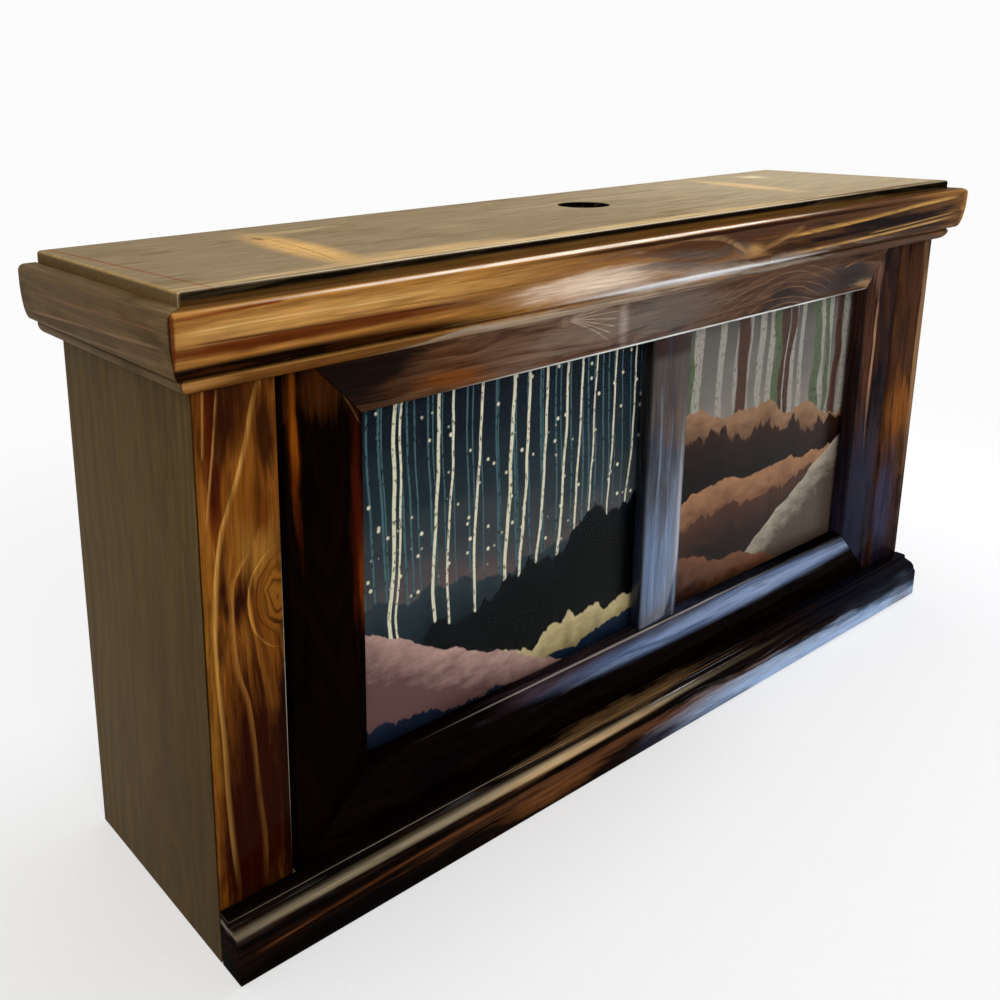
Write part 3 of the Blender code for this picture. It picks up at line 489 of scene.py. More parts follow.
fan = [(streak, [(-88, 291.5 + k * 0.3), (-70, 291 + k * 1.9), (-44 - abs(k) * 2, 290.5 + k * 4.4)],
        0.45, "c4b09c", 0.75) for k in range(-4, 3)]
arches = [(streak, [(62 - k * 9, 267 + k * 2), (80 - k * 7, 274 + k * 4),
                    (104 - k * 2 + rise, 279 + k * 5 + rise), (132, 281 + k * 5 - rise),
                    (158 + k * 3, 276 + k * 5), (176 + k * 7, 266 + k * 4)], 0.55, "94704c", 0.6)
          for k, rise in ((-2, 0), (-1, 1.2), (0, -0.6), (1, 0.8), (2, -1), (3, 0.5))]
frame_top = pine(
    "torched_pine_frame_top_rail", "X", "Z", 4, "54341e", "74543a", "221008", ring=4.4, heart=(255, 25),
    lines=0.6, blotch=0.35, char=0.45, bare_from=BACK_OF_FRONT,
    shines=[(-10, 284, 90, 16, 0.7, 0.7), (120, 284, 130, 16, 0.2, 0.5)], marks=[
    (torn_oval, -240, 292, 46, 26, "0e0502", 0.97, 0.4),
    (torn_oval, -178, 274, 20, 4.6, "7c4414", 0.75, 0.7, 8), (torn_oval, -205, 299, 50, 6, "301a0c", 0.8, 0.5),
    # the grey-brown scorches at v 284 and the pale upright band below paint a sheen
    (torn_oval, -128, 284, 34, 14, "705442", 0.7, 0.6), (torn_oval, -64, 284, 44, 13, "7a6654", 0.7, 0.6),
    (torn_oval, 10, 284, 56, 13, "685c52", 0.7, 0.5), (torn_oval, -90, 296.5, 90, 2.6, "a8886c", 0.75, 0.6),
    (band, -41, 284, 3.5, 14, "c8bab0", 0.4, 0.9), (knot, -91, 291, 5, 3.4, "94745a", "4c382a"),
    *fan,
    (streak, [(-73, 295.5), (-39, 297), (12, 298), (40, 299)], 0.6, "9c846c", 0.6),
    (torn_oval, 196, 277, 34, 8, "2a1a18", 0.85, 0.6), (torn_oval, 148, 272, 30, 4, "48362e", 0.75, 0.6),
    *arches, (torn_oval, 214, 280, 22, 9, "1e1210", 0.9, 0.5),
    (streak, [(190, 293), (225, 296), (258, 297)], 0.7, "a07440", 0.8),
    (streak, [(198, 286), (225, 290), (252, 291)], 0.7, "a07440", 0.75),
    (band, 249, 278, 24, 1, "c08a44", 0.85, 0.7, -45), (torn_oval, 236, 270, 14, 3, "b08c64", 0.8, 0.7),
    # the white band paints a highlight along the opening's top edge
    (band, 48, 267.8, 172, 0.75, "f4faf6", 0.97, 0.5)])
soften("frame_top_rail", frame_top, 0.0008, segments=3)

frame_right = pine(
    "torched_pine_frame_right_stile", "Z", "X", 5, "2c1a14", "4c2e20", "120c14", heart=(260, 15),
    lines=0.6, char=0.5, gloss=0.25, bare_from=BACK_OF_FRONT, shines=[(120, 250, 40, 20, 0.12, 0.6)],
    marks=[
    (torn_oval, 220, 246, 70, 7, "5c3a28", 0.75, 0.6), (torn_oval, 216, 253.5, 56, 1.8, "b08464", 0.85, 0.7),
    # the navy scorch at the end of this line paints a reflection, and the near-black band paints shade on
    # the stile's inner face
    (torn_oval, 276, 250, 14, 5, "94705a", 0.75, 0.7), (torn_oval, 92, 252, 60, 24, "1e243a", 0.85, 0.5),
    (band, 150, 235.5, 100, 1.6, "04060e", 0.95, 0.5)])
soften("frame_right_stile", frame_right)

frame_bottom = pine(
    "torched_pine_frame_bottom_rail", "X", "Z", 6, "070301", "140804", "030100", heart=(10, 20),
    gloss=0.22, varnish=0.02, bare_from=BACK_OF_FRONT, shines=[(120, 63, 140, 8, 0.5, 0.5)], marks=[
    # all these marks are painted light: the blue, grey and purple ones a reflection, the pale band a
    # highlight along the opening's edge
    (torn_oval, -80, 66, 56, 7, "40323c", 0.8, 0.6), (band, 96, 62, 160, 8, "6c84b0", 0.8, 0.4),
    (torn_oval, 120, 62, 110, 4, "90a8d0", 0.6, 0.8), (torn_oval, 10, 68, 60, 3, "343444", 0.6, 0.7),
    (torn_oval, 40, 70.5, 30, 1.6, "2c3448", 0.7, 0.5), (band, -20, 71.8, 130, 0.5, "a49c94", 0.8, 0.5)])
soften("frame_bottom_rail", frame_bottom, 0.0008, segments=3)

# The mullion's grey wood colours carry a painted blue reflection, as do the blue scorch and the two blue
# streaks; the pale band is a painted highlight. The dark band at the top paints the top rail's shadow,
# and the dark scorch at the foot and the band at v -9.5 paint shade.
mullion = pine(
    "torched_pine_mullion", "Z", "X", 7, "363e4c", "4c5a70", "262e3c", ring=3, heart=(40, 30), blotch=0.4,
    char=0.5, varnish=0.3, bare_from=BACK_OF_FRONT, shines=[(110, 10, 70, 60, 1, 0.6)], marks=[
    (torn_oval, 236, 10, 36, 40, "544a42", 0.85, 0.5), (torn_oval, 206, 16, 16, 12, "644e44", 0.6, 0.7),
    (band, 266, 10, 12, 60, "2c140a", 0.95, 0.3), (torn_oval, 112, 10, 40, 30, "5474a4", 0.75, 0.7),
    (torn_oval, 76, 14, 7, 30, "30303e", 0.7, 0.7), (band, 140, 25, 60, 1.6, "b4b4b8", 0.6, 0.6),
    (streak, [(240, 0), (180, 2), (120, 1), (76, 3)], 1.2, "8094b4", 0.6),
    (streak, [(220, 14), (160, 12), (100, 15), (76, 14)], 1, "8094b4", 0.6),
    (band, 170, -9.5, 200, 1.4, "080606", 0.9, 0.5)])
soften("mullion", mullion)

# %% [markdown]
# ## The crown and base mouldings
#
# The crown is the palest wood of the front, gold with a wide red-brown stripe at the left, and it turns
# dark brown with gold stripes to the right. Its groove is painted black as shade, and a beige sheen is
# painted on its bulge. The base is almost black, with a gold streak along the foot; its round shows a
# long soft gloss, partly painted highlight, and a blue reflection is painted on its right half. The
# thin light lines along the crown's top and lower edges are painted highlights.

# %% The crown and base mouldings
crown = pine(
    "torched_pine_crown", "X", "Z", 8, "b07c3c", "8a5822", "5a2c0c", ring=4.6, heart=(400, -60),
    lines=0.4, blotch=0.1, gloss=0.27, shines=[(-60, 314, 70, 8, 0.6, 0.7), (-260, 306, 170, 4, 0, 0.3)],
    marks=[
    (torn_oval, 200, 318, 190, 26, "4c3020", 0.92, 0.5), (torn_oval, 20, 325.5, 96, 7, "503426", 0.95, 0.5),
    (torn_oval, -120, 325, 60, 6, "8c6238", 0.6, 0.7), (torn_oval, -262, 324, 110, 6, "d0a05c", 0.6, 0.6),
    (torn_oval, -255, 310.6, 120, 2, "9c662c", 0.7, 0.6), (band, -262, 316.2, 118, 2.9, "5c2404", 0.94, 0.5),
    (torn_oval, -150, 315, 34, 5, "7c5830", 0.6, 0.6),
    (streak, [(-344, 319.4), (-290, 318.6), (-230, 317.6), (-180, 317)], 0.8, "3c1202", 0.8),
    (streak, [(-340, 324), (-290, 325), (-240, 324.4), (-190, 325)], 0.8, "e0b878", 0.6),
    (streak, [(-250, 321), (-200, 320.4), (-150, 320)], 0.9, "86582a", 0.6),
    # the marks on this line and the next paint a sheen on the bulge
    (torn_oval, -120, 313, 40, 6, "a87c54", 0.7, 0.7), (band, -76, 313.5, 50, 6.5, "d8bca0", 0.6, 0.9),
    (torn_oval, -74, 313.5, 44, 6, "f8e0c8", 0.85, 0.8), (torn_oval, 0, 312, 60, 5, "98806c", 0.6, 0.7),
    (torn_oval, 8, 318, 50, 6, "5c4a3e", 0.85, 0.5), (parting, 62, 314, 24, 5, 20),
    (streak, [(-34, 330), (0, 329), (26, 326), (44, 320), (58, 312)], 2.2, "a8845c", 0.75),
    (streak, [(58, 310), (76, 315), (95, 319.5), (118, 325)], 2.2, "a88052", 0.8),
    (torn_oval, 60, 316, 9, 3.4, "b08856", 0.85, 0.8), (torn_oval, 62, 309.6, 28, 1.8, "3c2c26", 0.8, 0.5),
    (torn_oval, 230, 319, 78, 4.5, "120806", 0.95, 0.5, 2), (torn_oval, 110, 314, 40, 3, "2c1a10", 0.8, 0.6),
    (band, 250, 312, 80, 2.2, "160a06", 0.8, 0.6, 1.5),
    (streak, [(90, 308), (140, 308.4), (200, 309.4), (270, 311.4), (332, 313.6)], 1.2, "c89c60", 1.1),
    (streak, [(112, 313.8), (160, 314.6), (210, 315.8), (270, 318.2), (330, 321.4)], 2.2, "140806", 1.2),
    (streak, [(200, 312.4), (260, 314.2), (328, 317)], 0.8, "b48a54", 1),
    (streak, [(96, 320), (140, 321), (190, 322.6), (237, 324.8), (270, 326.4),
              (332, 328.4)], 1.7, "cc9c56", 1.1),
    (torn_oval, 341, 315, 5, 26, "b07c38", 0.85, 0.5), (band, -341.8, 316, 1.6, 40, "5c2408", 0.9, 0.5),
    (streak, [(-344, 330.4), (-322, 331), (-300, 331.6), (-284, 332)], 1, "6c1a02", 0.97),
    # the pale band at v 332.9 paints a highlight along the top arris
    (band, 60, 330.6, 190, 1.3, "2c1004", 0.95, 0.4), (band, -80, 332.9, 195, 0.7, "fce8d4", 0.97, 0.4),
    # the two black bands and the first dark scorch on the next line paint shade in the groove under the
    # bulge
    (band, -290, 306, 130, 4.4, "060201", 0.99, 0.35), (band, -260, 303.1, 120, 1.1, "180a02", 0.9, 0.4),
    (torn_oval, 240, 305.6, 120, 2.6, "3c281c", 0.85, 0.5), (torn_oval, -250, 298, 110, 5, "603812", 0.85, 0.4),
    (band, -240, 301.8, 130, 0.7, "b08044", 0.8, 0.5), (band, -326, 300, 14, 2, "c08c4c", 0.8, 0.7),
    # the grey scorch paints a sheen on the ovolo
    (torn_oval, -50, 298, 120, 5, "b0a08c", 0.85, 0.5),
    (streak, [(-120, 300), (-40, 299.8), (40, 299.6)], 0.9, "5c4c3e", 0.8),
    (torn_oval, 292, 297.4, 54, 3, "1c1216", 0.8, 0.5), (torn_oval, 190, 299, 170, 6, "5c463a", 0.9, 0.4),
    # the grey scorch paints a sheen on the ovolo
    (torn_oval, 100, 301.4, 60, 1.6, "9c9080", 0.7, 0.6), (band, -260, 295.4, 170, 1, "3c1c06", 0.8, 0.5),
    # a painted sheen and a painted white highlight along the crown's lower edge
    (torn_oval, 20, 306.6, 120, 2.6, "a09084", 0.8, 0.6), (band, 16, 304.5, 108, 2.4, "fafafc", 0.98, 0.4),
    (torn_oval, 335, 303, 12, 7, "4c3824", 0.8, 0.6), (band, -60, 334.6, 1500, 0.9, "4a3018", 0.9, 0.4)])
soften("crown_front", crown, 0.001, segments=3)

base = pine(
    "torched_pine_base_moulding", "X", "Z", 9, "120703", "2c1608", "060201", heart=(60, -40), char=0.35,
    gloss=0.22, varnish=0.03, shines=[(-170, 26.3, 190, 1.8, 0.5, 0.6), (190, 3, 150, 8, 0.5, 0.5)],
    marks=[
    (torn_oval, -50, 16, 140, 4, "6c452c", 0.75, 0.7), (torn_oval, -104, 9, 38, 6, "7a4c28", 0.85, 0.7),
    (torn_oval, -262, 5, 100, 6, "030100", 0.95, 0.5),
    (streak, [(-318, 14), (-250, 16.5), (-190, 18), (-140, 17)], 1.2, "744220", 0.8),
    # the grey scorch paints a reflection
    (band, 0, 21.2, 1200, 0.9, "040201", 0.9, 0.4), (torn_oval, 50, 9, 56, 8, "8c8894", 0.8, 0.7),
    # this line and the next paint a blue reflection on the right half, navy where it is dim
    (band, 190, 3, 150, 9, "98b8e4", 0.85, 0.6), (torn_oval, 196, 3, 140, 9, "a4c4f0", 0.6, 0.6),
    (torn_oval, 150, 11, 80, 4, "a0b4d0", 0.8, 0.6), (torn_oval, 300, 17, 70, 6, "28303e", 0.7, 0.6),
    # painted highlights along the top of the round
    (band, -150, 26, 190, 1.3, "a89878", 0.75, 0.7), (band, -84, 25.4, 64, 1.5, "dcb884", 0.75, 0.8),
    (band, 0, 31.6, 1500, 0.7, "0a0604", 0.95, 0.3),
    (streak, [(-150, 28.9), (-60, 28.8), (20, 29), (96, 29.4)], 0.4, "a88250", 0.85),
    # the purple scorch paints a reflection
    (band, -30, 27.8, 120, 0.35, "120a06", 0.9, 0.4), (torn_oval, -4, 4.6, 24, 4, "1f162a", 0.85, 0.6),
    # the blue-grey and navy scorches here and on the next line paint a reflection
    (torn_oval, 308, 5, 14, 14, "6c7890", 0.7, 0.6), (torn_oval, 300, 18, 44, 3, "080a18", 0.8, 0.5),
    (torn_oval, 250, 27, 110, 5, "060a16", 0.8, 0.5), (band, 327.2, 16, 0.8, 40, "0c0604", 0.97, 0.4),
    # the thin pale band paints a highlight along the lip's arris
    (band, -200, 30.4, 140, 0.3, "807a68", 0.7, 0.5), (torn_oval, -30, 30, 70, 2, "6a5030", 0.7, 0.6)])
soften("base_moulding", base, 0.0006, segments=3)

# %% [markdown]
# ## The returns and the side panels
#
# The crown turns the front corners as two short returns. They and the side panels were stained an even
# olive-brown and left satin, without the gloss of the front. Only fine grain lines show.

# %% The returns and the side panels
left_return = pine(
    "stained_pine_returns", "Y", "Z", 10, "665238", "7a6242", "544228", heart=(300, -400), blotch=0.4,
    gloss=0.6, specular=0.02, varnish=0, marks=[
    (streak, [(-80, 318), (0, 314), (80, 310)], 0.9, "98785c", 0.8),
    (streak, [(-80, 310), (0, 307), (80, 304)], 0.9, "8c7050", 0.7),
    (streak, [(-80, 325), (0, 323), (80, 321)], 0.7, "8a6448", 0.7),
    (band, 0, 303.2, 600, 1, "30261a", 0.8, 0.5), (band, -82, 316, 1.4, 60, "1c1008", 0.8, 0.6)])
soften("crown_left_return", left_return)
soften("crown_right_return", left_return)

side = pine(
    "stained_pine_sides", "Z", "Y", 11, "62502f", "4c3c24", "524028", ring=4.5, heart=(0, -420),
    lines=0.8, blotch=0.3, gloss=0.6, specular=0.02, varnish=0, marks=[
    (torn_oval, 160, 10, 150, 70, "5e4c30", 0.6, 0.6), (torn_oval, 60, -60, 110, 50, "44351e", 0.6, 0.9)])
soften("left_side_panel", side)
soften("right_side_panel", side)

# %% [markdown]
# ## The top board
#
# The top is an even grey-tan with pale gold patches where the stain was rubbed through, and a worn
# pale line along its edges. Its right part is painted lighter as window light, a painted highlight
# runs along the front arris, and the front edge is black: burnt, with painted shade above the crown.
# The wall of the round hole is painted black as shade.

# %% The top board
top = pine(
    "torched_pine_top_board", "X", "Y", 12, "907e62", "9c8868", "847254", heart=(20, 500), lines=0.35,
    blotch=0.25, char=0.15, gloss=0.6, varnish=0, marks=[
    # the first oval paints the right part lighter, as painted window light
    (torn_oval, 250, 20, 190, 120, "b0a082", 0.7, 0.7), (torn_oval, -60, -64, 270, 5, "c8aa7c", 0.8, 0.6),
    (torn_oval, -110, -66, 50, 3, "e0c094", 0.6, 0.7), (band, -227, -6, 12, 54, "d8ac6c", 0.92, 0.6, 6),
    (streak, [(-219, 44), (-222, 20), (-226, -10), (-236, -52)], -0.9, "8a6030", 0.7),
    (streak, [(-232, 40), (-232, 14), (-234, -16), (-240, -50)], 0.8, "a87c44", 0.7),
    (band, -225, 37, 2, 6, "5c3c20", 0.7, 0.7), (torn_oval, -190, 50, 36, 3, "b49c70", 0.7, 0.6),
    (torn_oval, -180, -56, 40, 7, "d0ac78", 0.7, 0.7), (band, -322, 20, 0.9, 120, "8a4a24", 0.7, 0.7, -4),
    (band, -331.4, 5, 1, 300, "b8985e", 0.6, 0.6), (band, -332.9, 5, 1.2, 300, "66543a", 0.9, 0.3),
    (band, 196, 16, 9, 42, "dcb888", 0.75, 0.8, 12),
    (streak, [(176, -26), (190, 10), (204, 40), (214, 70)], 0.8, "8c6a3c", 0.6),
    (band, 262, 52, 9, 10, "dccca4", 0.8, 0.8), (torn_oval, 240, -68, 110, 3.4, "5c4630", 0.85, 0.6),
    # the black band at v -72.6 is burnt wood and painted shade along the front edge, above the crown
    (band, 0, 84, 1500, 1.2, "b8985e", 0.5, 0.6), (band, 0, -72.6, 1500, 1.8, "060201", 0.98, 0.3),
    (edge_band, -40, 334.6, 290, 1.9, "7c5828", 0.85, 0.5),
    # a painted highlight along the front arris, and the round hole's wall painted black as shade
    (band, -60, -70.2, 260, 0.5, "dcd0b4", 0.8, 0.4), (band, 18.5, 18.5, 17, 17, "0a0604", 1, 0.03)])
soften("top_board", top)

# %% [markdown]
# ## Inside boards and the back door
#
# Nobody sees the inside, so it is bare pale pine, and the door at the back is stained like the sides.

# %% Inside boards and the back door
for name, grain, across, seed, heart, nodes in (
        ("bare_pine_inside", "X", "Z", 13, (100, 60), ("base_face_rail", "bottom_board", "stop_batten")),
        ("bare_pine_battens", "Z", "X", 14, (0, 60), ("left_batten", "right_batten"))):
    bare = pine(name, grain, across, seed, "cdb083", "b48c58", "c4a272", heart, lines=0.6, blotch=0.3,
                char=0.1, gloss=0.6, varnish=0.0)
    for node in nodes:
        soften(node, bare)
door = pine("stained_pine_door", "X", "Z", 15, "6e5a3c", "5a472c", "604c30", heart=(160, 160), ring=5,
            lines=0.6, blotch=0.3, char=0.2, gloss=0.5, specular=0.1, varnish=0.0)
soften("back_door", door)
soften("door_knob", door, 0.0003)

# %% [markdown]
# ## The prints
#
# The frame holds two plain landscapes made for it. Each is painted with nodes in layers, from far to
# near, as one would in gouache. A hill covers everything below its skyline, and the skyline is a
# height plus noise along the width. Sizes and places are in mm.

# %% What the prints are painted with
def hill(add, colour, spot, height, slope, swing, span, seed, near_code, far_code, rough_line):
    """A hill whose skyline is height mm up at x = 0, and rises by slope. It darkens downwards."""
    parts = add("SeparateXYZ", {0: spot}, out=None)
    line = add("TexNoise", {"Vector": add("CombineXYZ", {0: parts["X"], 1: seed * 50.0}),
                            "Scale": 1 / span, "Detail": 6.0, "Roughness": rough_line})
    rise = add("Math", {0: parts["X"], 1: slope, 2: height - swing / 2}, "MULTIPLY_ADD")
    skyline = add("Math", {0: line, 1: swing, 2: rise}, "MULTIPLY_ADD")
    under = add("Math", {0: skyline, 1: parts["Z"]}, "SUBTRACT")
    grit = add("TexNoise", {"Vector": add("Mapping", {
        "Vector": spot, "Location": (seed * 9, 0, 0), "Scale": (0.07, 0, 0.16)}),
        "Scale": 1.0, "Detail": 6.0, "Roughness": 0.65})
    fall = add("MapRange", {0: under, 2: 60})
    shade = add("Math", {0: grit, 1: 0.8, 2: fall}, "MULTIPLY_ADD")
    body = add("ValToRGB", {0: shade}, stops=[(0.25, far_code), (0.85, near_code)])
    cover = add("MapRange", {0: under, 1: -0.3, 2: 0.6})
    return add("Mix", {0: cover, 6: colour, 7: body}, **COLOURS)


def trunks(add, colour, spot, spacing, thick, lean, seed, code, dark):
    """Thin upright trunks at uneven places, each of its own thickness and leaning a little."""
    parts = add("SeparateXYZ", {0: spot}, out=None)
    sway = add("TexNoise", {"Vector": add("Mapping", {
        "Vector": spot, "Location": (seed, 0, 0), "Scale": (0.008, 0, 0.011)}), "Scale": 1.0})
    leaning = add("Math", {0: parts["Z"], 1: lean, 2: parts["X"]}, "MULTIPLY_ADD")
    across = add("Math", {0: sway, 1: spacing * 0.9, 2: leaning}, "MULTIPLY_ADD")
    cells = add("TexVoronoi", {"W": add("Math", {0: across, 1: spacing}, "DIVIDE"),
                               "Scale": 1.0}, out=None, voronoi_dimensions="1D")
    chance = add("SeparateColor", {0: cells["Color"]})
    half = add("MapRange", {0: chance, 3: thick * 0.3 / spacing, 4: thick * 0.6 / spacing})
    share = add("Math", {0: cells["Distance"], 1: half}, "DIVIDE")
    bark = add("TexNoise", {"Vector": add("Mapping", {"Vector": spot, "Scale": (0.5, 0, 0.3)}),
                            "Scale": 1.0, "Detail": 3.0})
    skin = add("ValToRGB", {0: bark}, stops=[(0.36, dark), (0.46, code)])
    cover = add("MapRange", {0: share, 1: 1.0, 2: 0.7})
    return add("Mix", {0: cover, 6: colour, 7: skin}, **COLOURS)


def far_lights(add, colour, spot, spacing, size, chance, code):
    """Round soft lights, one in some of the cells of an uneven net."""
    cells = add("TexVoronoi", {"Vector": add("Mapping", {"Vector": spot, "Scale": (1, 0, 1)}),
                               "Scale": 1 / spacing}, out=None)
    shown = add("Math", {0: add("SeparateColor", {0: cells["Color"]}), 1: chance}, "LESS_THAN")
    disc = add("MapRange", {0: cells["Distance"], 1: size, 2: size * 0.55})
    cover = add("Math", {0: disc, 1: shown}, "MULTIPLY")
    return add("Mix", {0: cover, 6: colour, 7: paint(code)}, **COLOURS)


def landscape(name, sky, layers):
    """Photo paper with a low even gloss. sky is a ramp from low to high, and each layer is one of
    the functions above and its values."""
    material, add = start_material(name)
    spot = place_in_mm(add)
    level = add("MapRange", {0: add("SeparateXYZ", {0: spot}, out=2), 1: 120, 2: 275})
    mist = add("TexNoise", {"Vector": add("Mapping", {"Vector": spot, "Scale": (0.016, 0, 0.04)}),
                            "Scale": 1.0, "Detail": 5.0})
    lift = add("Math", {0: level, 1: 0.25}, "SUBTRACT")
    height = add("Math", {0: mist, 1: 0.5, 2: lift}, "MULTIPLY_ADD")
    colour = add("ValToRGB", {0: height}, stops=sky)
    for draw, *values in layers:
        colour = draw(add, colour, spot, *values)
    patch = add("TexNoise", {"Vector": spot, "Scale": 0.05, "Detail": 1.0})
    rough = add("MapRange", {0: patch, 3: 0.42, 4: 0.5})
    shader = add("BsdfPrincipled", {"Base Color": colour, "Roughness": rough, "Specular IOR Level": 0.03})
    add("OutputMaterial", {0: shader})
    print(f"{name}: {len(layers)} layers, {len(material.node_tree.nodes)} nodes")
    return material


def dress(node, material):
    """Gives a CAD node a better material, with its shape as it is."""
    frame["nodes"][node].material_slots[0].material = material
    print(f"{node}: {material.name}")


# %% [markdown]
# ### The left print
#
# Birches at dusk. Far trunks and lights come first, then the wood's edge, the near birches, and in
# front of them bushes, pale reeds and heather.

# %% Birches at dusk
birches = landscape(
    "photo_paper_birches_at_dusk",
    [(0.0, "7c5c58"), (0.3, "46484e"), (0.55, "223038"), (0.8, "121c28"), (1.0, "0a121c")], [
        (trunks, 7, 1.6, 0.03, 3, "4c6c76", "162830"),
        (far_lights, 7, 0.22, 0.5, "f6ecd0"),
        (hill, 150, 0, 60, 50, 1, "14202a", "38444c", 0.6),
        (trunks, 17, 2.6, -0.04, 11, "f0e8d0", "7c766a"),
        (hill, 168, 0.24, 90, 42, 2, "010203", "060a10", 0.62),
        (hill, 96, 0.02, 46, 26, 21, "8c7850", "e0cc9c", 0.6),
        (hill, 84, 0.1, 30, 44, 22, "05080c", "1c2c48", 0.7),
        (hill, 36, -0.46, 34, 60, 4, "6c4c4c", "d0a8a0", 0.6),
        (hill, 52, -0.14, 30, 30, 5, "060a18", "1c2840", 0.7)])
dress("left_print", birches)

# %% [markdown]
# ### The right print
#
# Dunes under a misty wood. Three sorts of trunk fade into the mist, and the dunes in front of them
# take turns with strips of dark scrub.

# %% Dunes under a misty wood
dunes = landscape(
    "photo_paper_dunes_and_trees",
    [(0.0, "b8aca4"), (0.4, "948a84"), (0.7, "746e6a"), (1.0, "5c5854")], [
        (trunks, 15, 9, 0, 31, "aca49c", "7c746c"),
        (trunks, 43, 12, 0, 37, "54382e", "2c1c18"),
        (trunks, 61, 10, 0.02, 43, "5e6a50", "3c4634"),
        (hill, 214, -0.16, 60, 50, 7, "5c3c2a", "b48868", 0.55),
        (hill, 194, -0.12, 80, 30, 12, "0c0504", "3a2018", 0.68),
        (hill, 150, -0.04, 80, 90, 8, "6c4430", "c08a64", 0.55),
        (hill, 116, 0.1, 60, 36, 14, "1e100c", "5c382a", 0.66),
        (hill, 28, 0.5, 40, 60, 9, "5c4c44", "c8b8a8", 0.55),
        (hill, 116, -0.26, 36, 50, 10, "341c14", "8c5a40", 0.6)])
dress("right_print", dunes)

# %% [markdown]
# ## Glass
#
# Picture glass is clear float glass. Light has to reach the print behind it, but the renderer finds
# its way through glass only by chance, so rays that carry light to or from the print meet a clear
# shader instead.

# %% Picture glass
def picture_glass():
    material, add = start_material("float_glass_clear")
    haze = add("TexNoise", {"Vector": add("TexCoord", out="Object"), "Scale": 18.0})
    rough = add("MapRange", {0: haze, 4: 0.01})
    pane = add("BsdfPrincipled", {"Base Color": paint("f8fbfa"), "Roughness": rough, "IOR": 1.06,
                                  "Transmission Weight": 1.0})
    clear = add("BsdfTransparent", {0: paint("fafcfb")})
    path = add("LightPath", out=None)
    light = add("Math", {0: path["Is Shadow Ray"], 1: path["Is Diffuse Ray"]}, "MAXIMUM")
    add("OutputMaterial", {0: add("MixShader", {0: light, 1: pane, 2: clear})})
    return material


glass = picture_glass()
for node in ("left_glass", "right_glass"):
    dress(node, glass)

# %% [markdown]
# ## The back: hardboard, zinc, brass and plastic
#
# None of this shows in the photograph. Hardboard is pressed brown fibre, smooth with fine flecks.
# Zinc plate is a cool, slightly cloudy grey, brass plate is warm with darker smudges, and the catch
# is moulded brown plastic with a fine spark-eroded grain. All four are one recipe: a mottle between
# two close colours, with its size in mm.

# %% Hardboard, metal and plastic
def flecked(name, low, high, size, gloss, metallic=0.0, relief=0.1, specular=0.5):
    """A plain finish with two close colours, mottled at a size in mm, and a roughness that varies."""
    material, add = start_material(name)
    mottle = add("TexNoise", {"Vector": add("TexCoord", out="Object"), "Scale": 1000 / size,
                              "Detail": 4.0, "Roughness": 0.6})
    colour = add("ValToRGB", {0: mottle}, stops=[(0.3, low), (0.7, high)])
    rough = add("MapRange", {0: mottle, 1: 0.3, 2: 0.7, 3: gloss * 0.8, 4: gloss * 1.2})
    bump = add("Bump", {"Height": mottle, "Strength": relief, "Distance": 0.0002})
    shader = add("BsdfPrincipled", {"Base Color": colour, "Roughness": rough, "Metallic": metallic,
                                    "Specular IOR Level": specular, "Normal": bump})
    add("OutputMaterial", {0: shader})
    return material


hardboard = flecked("hardboard_pressed_fibre", "6a4a30", "8a6444", 1.2, 0.7, relief=0.3, specular=0.3)
zinc = flecked("zinc_plated_steel", "a4a8ac", "c0c2c4", 2.5, 0.32, metallic=1.0)
brass = flecked("brass_plated_steel", "a8863c", "c8a456", 4.0, 0.3, metallic=1.0)
moulded = flecked("abs_moulded_brown", "3c2a1e", "463226", 0.4, 0.45, relief=0.2)
for node in ("left_backing", "right_backing"):
    dress(node, hardboard)

# %% [markdown]
# ## Screws, turn buttons, hinges and the catch
#
# A screw gets the cross recess that a driver needs, cut out of its head with a Boolean modifier,
# which is applied at once so that only the finished mesh stays.

# %% Screw heads with a cross recess
def cross_recess(piece, centre, out, reach, width, depth):
    """Cuts a cross into a screw's head. centre is the middle of the head's top and out its direction."""
    out = Vector(out)
    turn = Vector((0, 0, 1)).rotation_difference(out).to_matrix().to_4x4()
    bm = bmesh.new()
    for arm in ((reach, width), (width, reach)):
        made = bmesh.ops.create_cube(bm, size=2)["verts"]
        bmesh.ops.scale(bm, vec=(*arm, depth), verts=made)
    bmesh.ops.transform(bm, matrix=Matrix.Translation(centre) @ turn, verts=bm.verts)
    cutter = put("cutter", mesh_from(bm, "cutter"))
    cut = piece.modifiers.new("recess", "BOOLEAN")
    cut.operation, cut.solver, cut.object, cut.use_self = "DIFFERENCE", "EXACT", cutter, True
    bpy.context.view_layer.update()
    result = bpy.data.meshes.new_from_object(piece.evaluated_get(bpy.context.evaluated_depsgraph_get()))
    piece.modifiers.clear()
    old, piece.data = piece.data, result
    result.materials.clear()
    result.materials.append(zinc)
    for mesh in (old, cutter.data):        # removing a mesh removes the object that shows it
        bpy.data.meshes.remove(mesh)


def finish_screw(node, out):
    """A softened screw with a cross recess in its head."""
    piece = soften(node, zinc, 0.0)
    low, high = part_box(node)
    axis = max(range(3), key=lambda i: abs(out[i]))
    centre = (low + high) / 2
    centre[axis] = high[axis] if out[axis] > 0 else low[axis]
    radius = min(high[i] - low[i] for i in range(3)) / 2
    cross_recess(piece, centre, out, radius * 0.62, radius * 0.13, radius * 0.3)


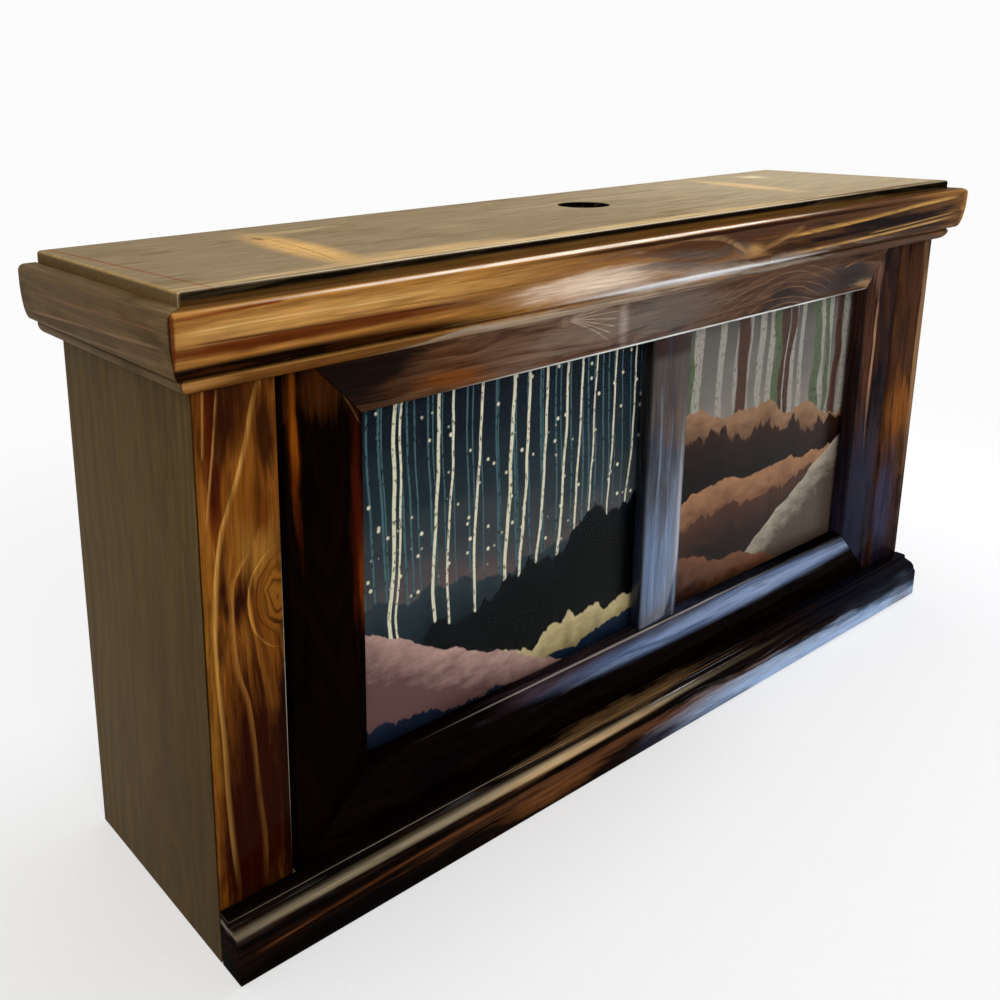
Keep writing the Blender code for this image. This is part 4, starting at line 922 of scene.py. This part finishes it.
for side in ("left", "right"):
    for place in ("top", "bottom", "side"):
        soften(f"{side}_{place}_button", zinc, 0.0003)
        finish_screw(f"{side}_{place}_button_screw", (0, 1, 0))
    finish_screw(f"catch_{side}_screw", (0, 0, -1))
for place in ("lower", "upper"):
    for kind in ("case_leaf", "door_leaf"):
        soften(f"{place}_hinge_{kind}", brass, 0.00015)
        for end in ("lower", "upper"):
            finish_screw(f"{place}_{kind}_{end}_screw", (0, 1, 0))
    soften(f"{place}_hinge_pin", zinc, 0.0001)
for node in ("strike_screw", "knob_screw"):
    finish_screw(node, (0, -1, 0))
soften("strike_plate", zinc, 0.0002)
soften("magnetic_catch", moulded, 0.0004)

# %% [markdown]
# ## The floor
#
# The photograph shows the object cut out on white. The floor is pale paper with a soft shadow near
# the object, and it fades to white further out for the camera, for gloss and for glass.

# %% Floor
FLOOR_RADIUS, FLOOR_DROP = 12, 0.0004        # metres
FADE_FROM, FADE_TO = 0.36, 0.9               # metres from the middle
PLAIN_NEAR = 0.55                            # share of plain white where the fade starts


def seen_directly(add):
    """1 for what the camera, a reflection or the glass shows, 0 for light that falls on the object."""
    path = add("LightPath", out=None)
    shown = add("Math", {0: path["Is Camera Ray"], 1: path["Is Glossy Ray"]}, "ADD")
    return add("Math", {0: shown, 1: path["Is Transmission Ray"]}, "ADD", use_clamp=True)


def make_floor():
    material, add = start_material("pale_paper_floor")
    spot = add("TexCoord", out="Object")
    reach = add("VectorMath", {0: spot}, "LENGTH", out="Value")
    far = add("MapRange", {0: reach, 1: FADE_FROM, 2: FADE_TO, 3: PLAIN_NEAR}, **SMOOTHLY)
    cover = add("Math", {0: far, 1: seen_directly(add)}, "MULTIPLY")
    speck = add("TexNoise", {"Vector": spot, "Scale": 300.0})
    tone = add("ValToRGB", {0: speck}, stops=[(0.3, "f2f2f2"), (0.7, "f6f6f6")])
    paper = add("BsdfDiffuse", {0: tone})
    glow = add("Emission", {0: paint("fcfcfc")})
    add("OutputMaterial", {0: add("MixShader", {0: cover, 1: paper, 2: glow})})
    bm = bmesh.new()
    bmesh.ops.create_circle(bm, cap_ends=True, segments=64, radius=FLOOR_RADIUS)
    mesh = mesh_from(bm, "floor")
    mesh.materials.append(material)
    floor = put("floor", mesh)
    floor.location.z = -FLOOR_DROP


make_floor()
print("floor: plain white from", FADE_TO, "m out")

# %% [markdown]
# ## The light
#
# The world is white to look at and dimmer as a lamp. A soft box overhead and one in front of the left
# corner light the case evenly. A window to the right, a little behind the front, draws a thin glint
# along every rounded edge that runs the length of the case.

# %% World and lamps
def make_world(strength):
    """White where it is seen, and a lamp of some strength where it isn't."""
    world = bpy.data.worlds.new("studio")
    world.use_nodes = True
    world.node_tree.nodes.clear()
    add = partial(add_node, world.node_tree)
    level = add("MapRange", {0: seen_directly(add), 3: strength})
    add("OutputWorld", {0: add("Background", {0: paint("fcfcfc"), 1: level})})
    bpy.context.scene.world = world


def lamp(name, place, aim, size, power, code="ffffff"):
    """A soft rectangular lamp that faces a point."""
    light = bpy.data.lights.new(name, "AREA")
    light.shape = "RECTANGLE"
    light.size, light.size_y = size
    light.energy = power
    light.color = paint(code)[:3]
    holder = put(name, light)
    holder.location = place
    holder.rotation_euler = (Vector(aim) - Vector(place)).to_track_quat("-Z", "Y").to_euler()
    print(f"{name}: {power} W at {place}")


make_world(0.38)
lamp("overhead_softbox", (-0.1, 0.35, 1.9), (0, 0, 0.2), (1.6, 1.2), 11)
lamp("front_softbox", (-1.0, -1.7, 1.4), (0, 0, 0.15), (1.4, 1.0), 16, "fff4e6")
lamp("window", (1.5, -0.03, 1.35), (0.05, -0.05, 0.3), (0.4, 0.4), 22, "eef4ff")
